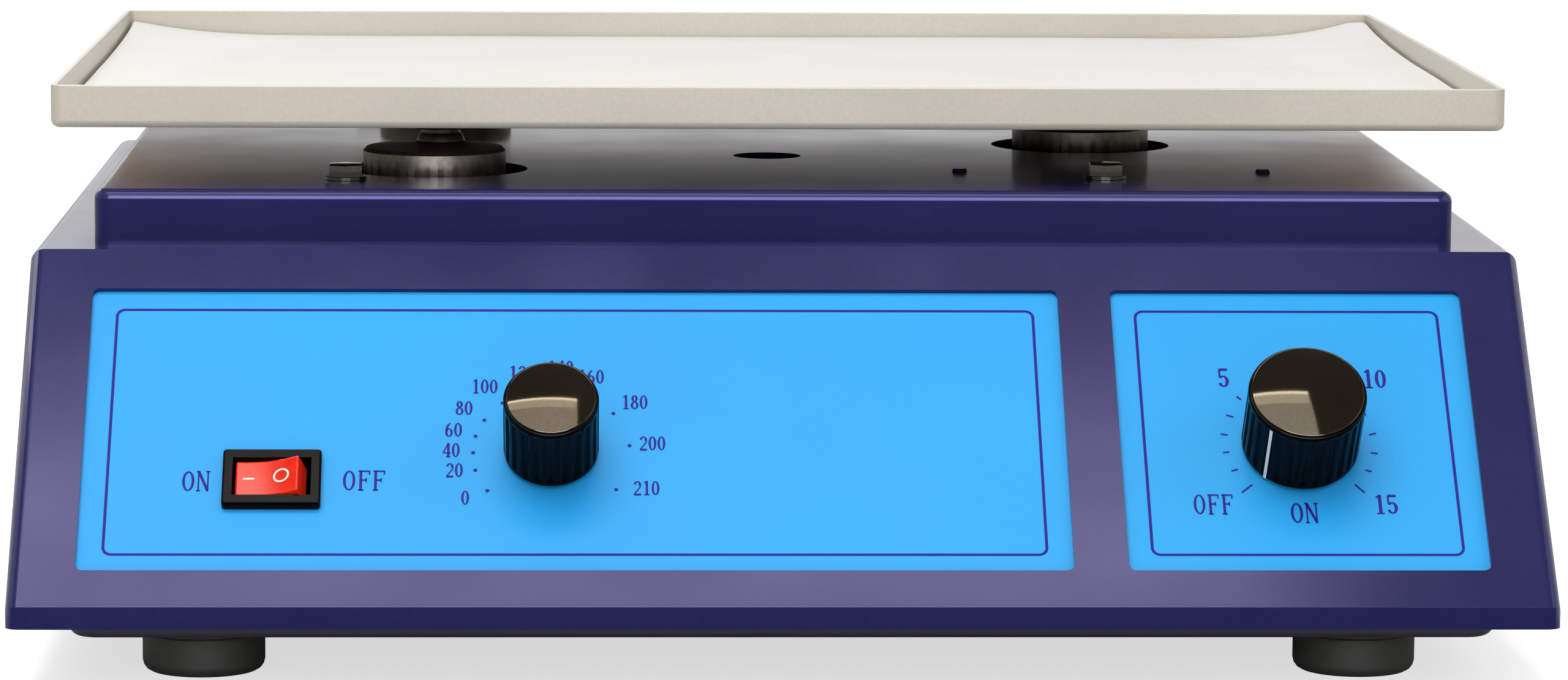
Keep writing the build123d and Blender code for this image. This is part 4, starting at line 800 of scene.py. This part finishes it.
class SHAKER_OT_rocker(bpy.types.Operator):
    """Shape the dished rocker with its two marks, and the bezel round it"""

    bl_idname = "shaker.rocker"
    bl_label = "Rocker switch"

    def execute(self, context):
        pivot = on_panel(*ROCKER_PLACE, -ROCKER_DEPTH)
        on_edge = Matrix.Rotation(radians(90), 4, "X")
        here = pivot @ on_edge @ Matrix.Rotation(radians(ROCKER_TILT), 4, "Z")
        mesh = bmesh.new()
        # Seen from the side: the dished face, then the ends and the belly
        outline = [(-6.5, 5.75), (-3.6, 5.15), (0, 4.85), (3.6, 5.15), (6.5, 5.75), (7.25, 0.6)]
        outline += [(4.3, -1.6), (2.4, -3.9), (0, -4.6), (-2.4, -3.9), (-4.3, -1.6), (-7.25, 0.6)]
        mesh.faces.new([mesh.verts.new((x, y, -ROCKER_HALF)) for x, y in outline])
        thicken(mesh, 2 * ROCKER_HALF)
        sharp = [edge for edge in mesh.edges if edge.calc_face_angle(0) > radians(50)]
        bmesh.ops.bevel(
            mesh, geom=sharp, offset=0.45, affect="EDGES", segments=4, profile=0.5, material=-1
        )
        pins = spun(
            [(0, -PIN_REACH), (PIN_RADIUS, -PIN_REACH), (PIN_RADIUS, PIN_REACH), (0, PIN_REACH)],
            steps=24,
        )
        join_into(mesh, pins, IN_PLACE)
        rocker = add_piece(
            mesh, "rocker_dished", "red_plastic", "rocker", here, sharp=30, stands_for=("rocker",)
        )
        even_normals(rocker)
        marks = bmesh.new()
        lie = Matrix.Rotation(radians(-90), 4, "X")
        bar = strip((-BAR_HALF, 0), (BAR_HALF, 0), BAR_WIDTH)
        ring = bmesh.new()
        bmesh.ops.create_circle(ring, cap_ends=True, segments=40, radius=RING_RADIUS)
        hollow_out(ring, RING_LINE)
        thicken(ring, PRINT_DEPTH)
        for mark, along, slope in ((bar, -4.0, -MARK_SLOPE), (ring, 2.9, MARK_SLOPE)):
            lean = Matrix.Rotation(radians(slope), 4, "Z")
            join_into(marks, mark, Matrix.Translation((along, MARK_HEIGHT, 0)) @ lean @ lie)
        add_piece(marks, "rocker_marks", "white_print", "rocker", here)
        eased_copy("switch_body", "switch_bezel", ease=0.12)
        return {"FINISHED"}


# The mat, in metres: how far each curled corner reaches along the back and down the side, and
# how steeply, how much of the curl the left one has, the raised side edges, and the soft ripple
RIGHT_REACH, LEFT_REACH, SIDE_REACH, CURL_SHAPE, LEFT_LIFT = 0.014, 0.016, 0.045, 1.4, 0.62
EDGE_LIFT, EDGE_REACH = 0.16, 0.006
RIPPLE, RIPPLES_PER_METRE = 0.00025, 22
OFF_THE_TRAY = 0.00005


class SHAKER_OT_mat(bpy.types.Operator):
    """Lay the soft mat, with its two back corners curled up"""

    bl_idname = "shaker.mat"
    bl_label = "Mat"

    def execute(self, context):
        low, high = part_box("mat")
        size = high - low
        middle = (high + low) / 2
        curl = context.scene.shaker_sizes.curl
        mesh = bmesh.new()
        bmesh.ops.create_grid(mesh, x_segments=90, y_segments=64, size=0.5)
        for vert in mesh.verts:
            x = vert.co.x * size.x
            y = vert.co.y * size.y
            side = size.x / 2 - abs(x)
            back = size.y / 2 - y
            reach = RIGHT_REACH if x > 0 else LEFT_REACH
            lift = 1.0 if x > 0 else LEFT_LIFT
            corner = lift * exp(-((side / reach) ** CURL_SHAPE)) * exp(-back / SIDE_REACH)
            edge = EDGE_LIFT * exp(-side / EDGE_REACH)
            ripple = RIPPLE * noise.noise(Vector((x, y, 0)) * RIPPLES_PER_METRE)
            rise = curl * min(1.0, corner + edge) + max(0.0, ripple)
            vert.co = (middle.x + x, middle.y + y, high.z + rise)
        thicken(mesh, OFF_THE_TRAY - size.z)
        add_piece(mesh, "mat_sheet", "white_mat", "tray", stands_for=("mat",), sharp=50)
        return {"FINISHED"}


# The deck bolts, in mm: the head across its corners, the shank, and the washers
HEAD_RADIUS, HEAD_HEIGHT, HEAD_EASE = 4.04, 2.6, 0.35
SHANK_RADIUS, SHANK_LENGTH = 2.0, 11.2
WASHER_RADIUS, WASHER_BORE, WASHER_THICKNESS = 4.5, 2.05, 0.8


class SHAKER_OT_fasteners(bpy.types.Operator):
    """Shape the hex bolts on the deck, with their washers"""

    bl_idname = "shaker.fasteners"
    bl_label = "Deck bolts"

    def execute(self, context):
        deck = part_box("deck_washers")[0].z
        bolts = bmesh.new()
        washers = bmesh.new()
        for place in island_centres("deck_washers"):
            here = Matrix.Translation((place.x, place.y, deck)) @ Matrix.Scale(MM, 4)
            hexagon = bmesh.new()
            bmesh.ops.create_cone(
                hexagon, cap_ends=True, segments=6, radius1=HEAD_RADIUS, radius2=HEAD_RADIUS,
                depth=HEAD_HEIGHT,
            )
            top = [face for face in hexagon.faces if face.normal.z > 0.9]
            bmesh.ops.bevel(
                hexagon, geom=[edge for face in top for edge in face.edges], offset=HEAD_EASE,
                affect="EDGES", segments=3, profile=0.5, material=-1,
            )
            head_middle = WASHER_THICKNESS + HEAD_HEIGHT / 2
            join_into(bolts, hexagon, here @ Matrix.Translation((0, 0, head_middle)))
            shank = spun(
                [
                    (0, -SHANK_LENGTH), (SHANK_RADIUS - 0.3, -SHANK_LENGTH),
                    (SHANK_RADIUS, 0.4 - SHANK_LENGTH), (SHANK_RADIUS, WASHER_THICKNESS),
                    (0, WASHER_THICKNESS),
                ],
                steps=32,
            )
            join_into(bolts, shank, here)
            washer = spun(
                [
                    (WASHER_BORE, 0), (WASHER_RADIUS - 0.1, 0), (WASHER_RADIUS, 0.1),
                    (WASHER_RADIUS, WASHER_THICKNESS - 0.1),
                    (WASHER_RADIUS - 0.1, WASHER_THICKNESS), (WASHER_BORE + 0.1, WASHER_THICKNESS),
                    (WASHER_BORE, WASHER_THICKNESS - 0.1), (WASHER_BORE, 0),
                ],
                steps=64,
            )
            join_into(washers, washer, here)
        add_piece(bolts, "hex_bolts", "zinc_steel", "base", stands_for=("deck_bolts",))
        add_piece(washers, "flat_washers", "zinc_steel", "base", stands_for=("deck_washers",))
        return {"FINISHED"}


def island_centres(node):
    """The middle of each separate solid of a CAD node, in order."""
    mesh = merged_solid(node)
    left = set(mesh.verts)
    centres = []
    while left:
        group = [left.pop()]
        for vert in group:
            for edge in vert.link_edges:
                other = edge.other_vert(vert)
                if other in left:
                    left.discard(other)
                    group.append(other)
        low = Vector([min(v.co[i] for v in group) for i in range(3)])
        high = Vector([max(v.co[i] for v in group) for i in range(3)])
        centres.append((low + high) / 2)
    mesh.free()
    return sorted(centres, key=tuple)


# The feet, in mm: the rim, the top, the screw's hole and where its head sits
FOOT_RADIUS, FOOT_TOP, FOOT_HOLE, FOOT_SEAT = 12.6, 10.4, 2.45, 5.0


class SHAKER_OT_feet(bpy.types.Operator):
    """Shape the four moulded feet"""

    bl_idname = "shaker.feet"
    bl_label = "Feet"

    def execute(self, context):
        mesh = bmesh.new()
        for place in island_centres("rubber_feet"):
            foot = spun(
                [
                    (FOOT_HOLE, FOOT_SEAT), (FOOT_HOLE, FOOT_TOP), (12.2, FOOT_TOP),
                    (FOOT_RADIUS, 10.1), (FOOT_RADIUS, 8.9), (12.3, 8.6), (12.3, 8.1),
                    (FOOT_RADIUS, 7.8), (FOOT_RADIUS, 2.2), (12.35, 1.2), (11.8, 0.45),
                    (11.0, 0.0), (6.0, 0.0), (5.7, 0.15), (5.6, 0.5), (5.6, FOOT_SEAT),
                    (FOOT_HOLE, FOOT_SEAT),
                ]
            )
            here = Matrix.Translation((place.x, place.y, 0)) @ Matrix.Scale(MM, 4)
            join_into(mesh, foot, here)
        add_piece(mesh, "moulded_feet", "foot_rubber", "base", stands_for=("rubber_feet",))
        return {"FINISHED"}


class SHAKER_OT_inlet(bpy.types.Operator):
    """Ease the mains inlet and its fuse drawer, and smooth its screws"""

    bl_idname = "shaker.inlet"
    bl_label = "Mains inlet"

    def execute(self, context):
        eased_copy("mains_inlet", "inlet_moulding", ease=0.3)
        eased_copy("fuse_drawer", "fuse_drawer_moulding", ease=0.2)
        eased_copy("inlet_screws", "inlet_screws_turned")
        return {"FINISHED"}


# Stage

# How far the floor is lifted, and how bright the surround is, where the camera sees them
FLOOR_LIFT = 0.66
BACKGROUND = 0.95

# The card over the knobs: its straight back edge and slanted right side show in their discs
CARD_HEIGHT = 1.2
CARD_LEFT, CARD_FRONT, CARD_BACK = -0.75, -1.15, -0.249
CARD_RIGHT_BACK, CARD_RIGHT_FRONT = 0.245, 0.40

CAMERA_PLACE = (-0.04395, -1.34310, 0.22449)
CAMERA_YAW, CAMERA_PITCH, CAMERA_ROLL = 0.0363, 0.1273, 0.0062
SENSOR_WIDTH = 36.0


def floor_finish():
    """A plain pale floor, lifted towards white for the camera, that keeps its shadows."""
    material, tree, surface = blank_finish(
        "pale studio floor", Base_Color=linear("#F0F0F0"), Roughness=0.9, Specular_IOR_Level=0.1
    )
    path = add_node(tree, "ShaderNodeLightPath")
    lift = add_node(
        tree,
        "ShaderNodeMath",
        {0: path.outputs["Is Camera Ray"], 1: FLOOR_LIFT},
        operation="MULTIPLY",
    )
    glow = add_node(tree, "ShaderNodeEmission", {"Strength": lift.outputs[0]})
    both = add_node(tree, "ShaderNodeAddShader", {0: surface.outputs[0], 1: glow.outputs[0]})
    tree.links.new(both.outputs[0], tree.nodes["Material Output"].inputs["Surface"])
    return material


def glow_finish(name, colour, strength):
    """A glowing card."""
    material, tree, surface = blank_finish(name)
    tree.nodes.remove(surface)
    glow = add_node(tree, "ShaderNodeEmission", {"Color": linear(colour), "Strength": strength})
    tree.links.new(glow.outputs[0], tree.nodes["Material Output"].inputs["Surface"])
    return material


def cloth_finish():
    """A black cloth seen from above and clear from below."""
    material, tree, surface = blank_finish(
        "black cloth", Base_Color=linear("#0A0A0C"), Roughness=1.0, Specular_IOR_Level=0.0
    )
    clear = add_node(tree, "ShaderNodeBsdfTransparent")
    side = add_node(tree, "ShaderNodeNewGeometry").outputs["Backfacing"]
    both = add_node(
        tree, "ShaderNodeMixShader", {0: side, 1: surface.outputs[0], 2: clear.outputs[0]}
    )
    tree.links.new(both.outputs[0], tree.nodes["Material Output"].inputs["Surface"])
    return material


def sheet(*outlines):
    """Flat faces from their corners, in metres."""
    mesh = bmesh.new()
    for corners in outlines:
        mesh.faces.new([mesh.verts.new(corner) for corner in corners])
    return mesh


def level(corners, height):
    """Corners in plan, all set at one height."""
    return [(x, y, height) for x, y in corners]


def card_right(y):
    """Where the card's slanted right side is, at a place from front to back."""
    along = (y - CARD_BACK) / (CARD_FRONT - CARD_BACK)
    return CARD_RIGHT_BACK + along * (CARD_RIGHT_FRONT - CARD_RIGHT_BACK)


def stage_piece(mesh, name, material, hidden_from=()):
    """A piece of the stage, hidden from the kinds of ray that are named."""
    data = bpy.data.meshes.new(name)
    mesh.to_mesh(data)
    mesh.free()
    data.materials.append(material)
    piece = bpy.data.objects.new(name, data)
    bpy.context.scene.collection.objects.link(piece)
    for kind in hidden_from:
        setattr(piece, f"visible_{kind}", False)


# All kinds of ray but a shiny surface's reflections
NOT_REFLECTIONS = ("camera", "diffuse", "shadow", "transmission", "volume_scatter")


def place_cards(strength):
    """The card over the knobs, and what only shiny surfaces see round it."""
    corners = [
        (CARD_LEFT, CARD_BACK), (CARD_RIGHT_BACK, CARD_BACK), (CARD_RIGHT_FRONT, CARD_FRONT),
        (CARD_LEFT, CARD_FRONT),
    ]
    card = sheet(level(corners, CARD_HEIGHT))
    stage_piece(
        card, "overhead_card", glow_finish("overhead card", "#FFF8EE", strength), ("camera",)
    )

    # Two brighter strips along its back edge
    for name, front, back, glow in (
        ("card_lip", -0.285, -0.2495, 18.0),
        ("card_margin", -0.420, -0.285, 7.0),
    ):
        right = card_right(back)
        corners = [(CARD_LEFT, front), (right, front), (right, back), (CARD_LEFT, back)]
        lip = sheet(level(corners, CARD_HEIGHT - 0.001))
        stage_piece(lip, name, glow_finish(name, "#FFF8EE", glow), NOT_REFLECTIONS)

    # A dim flag behind the card and beside it, for the dark part of the discs
    behind = [(-1.2, -0.247), (1.2, -0.247), (1.2, 0.5), (-1.2, 0.5)]
    beside = [(0.26, -1.2), (1.2, -1.2), (1.2, -0.247), (0.247, -0.247)]
    flag = sheet(level(behind, CARD_HEIGHT + 0.01), level(beside, CARD_HEIGHT + 0.01))
    stage_piece(flag, "black_flag", glow_finish("black flag", "#FFF4E6", 0.35), NOT_REFLECTIONS)

    # Lights for the bent edges, which turn past what the flat faces show
    above = level([(-0.8, 0.45), (0.8, 0.45), (0.8, 1.0), (-0.8, 1.0)], CARD_HEIGHT - 0.01)
    ahead = [(-0.8, -2.0, 0.4), (0.8, -2.0, 0.4), (0.8, -2.0, 1.7), (-0.8, -2.0, 1.7)]
    for name, corners, glow in (
        ("edge_light_above", above, 12.0),
        ("edge_light_front", ahead, 16.0),
    ):
        stage_piece(sheet(corners), name, glow_finish(name, "#F4F2FF", glow), NOT_REFLECTIONS)

    # A black cloth on the floor in front, which keeps the upright faces' reflections dark
    corners = [(-1.2, -1.6), (1.2, -1.6), (1.2, -0.17), (-1.2, -0.17)]
    stage_piece(sheet(level(corners, 0.002)), "black_cloth", cloth_finish(), NOT_REFLECTIONS)


def place_surround(scene, light):
    """A plain white surround, dimmer as a light than as a background."""
    world = bpy.data.worlds.new("plain surround")
    scene.world = world
    world.use_nodes = True
    tree = world.node_tree
    shade = tree.nodes["Background"]
    path = add_node(tree, "ShaderNodeLightPath")
    seen = add_node(
        tree,
        "ShaderNodeMath",
        {0: path.outputs["Is Camera Ray"], 1: path.outputs["Is Glossy Ray"]},
        operation="MAXIMUM",
    )
    strength = add_node(
        tree,
        "ShaderNodeMapRange",
        {"Value": seen.outputs[0], "To Min": light, "To Max": BACKGROUND},
    )
    shade.inputs["Color"].default_value = (1, 1, 1, 1)
    tree.links.new(strength.outputs[0], shade.inputs["Strength"])


def place_lamps(scene):
    """Three soft lamps: their places, what they point at, their sizes in metres and watts."""
    for name, place, aim, size, power in (
        ("front fill", (-0.5, -1.6, 0.9), (0, -0.1, 0.05), 1.2, 4.0),
        ("side soft", (1.4, -0.4, 0.9), (0, 0, 0.05), 1.0, 4.0),
        ("back soft", (-0.6, 1.4, 1.0), (0, 0, 0.1), 1.0, 5.0),
    ):
        light = bpy.data.lights.new(name, "AREA")
        light.energy = power
        light.size = size
        lamp = bpy.data.objects.new(name, light)
        scene.collection.objects.link(lamp)
        lamp.location = place
        towards = Vector(aim) - Vector(place)
        lamp.rotation_euler = towards.to_track_quat("-Z", "Y").to_euler()
        lamp.visible_camera = False


def place_camera(scene, lens):
    """The camera, turned by its yaw from +Y, its pitch down and its roll."""
    camera = bpy.data.cameras.new("camera")
    camera.sensor_width = SENSOR_WIDTH
    camera.lens = lens
    holder = bpy.data.objects.new("camera", camera)
    scene.collection.objects.link(holder)
    ahead = Vector(
        (
            sin(CAMERA_YAW) * cos(CAMERA_PITCH),
            cos(CAMERA_YAW) * cos(CAMERA_PITCH),
            -sin(CAMERA_PITCH),
        )
    )
    level_right = Vector((cos(CAMERA_YAW), -sin(CAMERA_YAW), 0))
    level_up = level_right.cross(ahead)
    right = level_right * cos(CAMERA_ROLL) + level_up * sin(CAMERA_ROLL)
    up = level_up * cos(CAMERA_ROLL) - level_right * sin(CAMERA_ROLL)
    turn = Matrix((right, up, -ahead)).transposed().to_4x4()
    holder.matrix_world = Matrix.Translation(CAMERA_PLACE) @ turn
    scene.camera = holder


class SHAKER_OT_stage(bpy.types.Operator):
    """Set the floor, the light and the camera at the photograph's angle"""

    bl_idname = "shaker.stage"
    bl_label = "Stage"

    def execute(self, context):
        scene = context.scene
        stage = scene.shaker_stage
        scene.view_settings.view_transform = "Standard"
        floor = bmesh.new()
        bmesh.ops.create_grid(floor, x_segments=1, y_segments=1, size=9.0)
        stage_piece(floor, "floor", floor_finish())
        place_cards(stage.card_strength)
        place_surround(scene, stage.surround)
        place_lamps(scene)
        place_camera(scene, stage.lens)
        return {"FINISHED"}


class SHAKER_PT_sidebar(bpy.types.Panel):
    """Lists the pieces and their settings"""

    bl_idname = "SHAKER_PT_sidebar"
    bl_label = "Orbital shaker"
    bl_space_type = "VIEW_3D"
    bl_region_type = "UI"
    bl_category = "Shaker"

    def draw(self, context):
        scene = context.scene
        for group in (scene.shaker_paint, scene.shaker_sizes, scene.shaker_stage):
            column = self.layout.column()
            for name in group.__annotations__:
                column.prop(group, name)
        for operator in OPERATORS:
            self.layout.operator(operator.bl_idname)


OPERATORS = (
    SHAKER_OT_solids,
    SHAKER_OT_prints,
    SHAKER_OT_knobs,
    SHAKER_OT_rocker,
    SHAKER_OT_mat,
    SHAKER_OT_fasteners,
    SHAKER_OT_feet,
    SHAKER_OT_inlet,
    SHAKER_OT_stage,
)
GROUPS = (ShakerPaint, ShakerSizes, ShakerStage)


def register():
    for item in (*GROUPS, *OPERATORS, SHAKER_PT_sidebar):
        bpy.utils.register_class(item)
    bpy.types.Scene.shaker_paint = PointerProperty(type=ShakerPaint)
    bpy.types.Scene.shaker_sizes = PointerProperty(type=ShakerSizes)
    bpy.types.Scene.shaker_stage = PointerProperty(type=ShakerStage)


def unregister():
    del bpy.types.Scene.shaker_paint
    del bpy.types.Scene.shaker_sizes
    del bpy.types.Scene.shaker_stage
    for item in reversed((*GROUPS, *OPERATORS, SHAKER_PT_sidebar)):
        bpy.utils.unregister_class(item)


def main():
    """Registers everything and runs each operator in turn."""
    register()
    for operator in OPERATORS:
        group, name = operator.bl_idname.split(".")
        getattr(getattr(bpy.ops, group), name)()


if __name__ == "__main__":
    main()
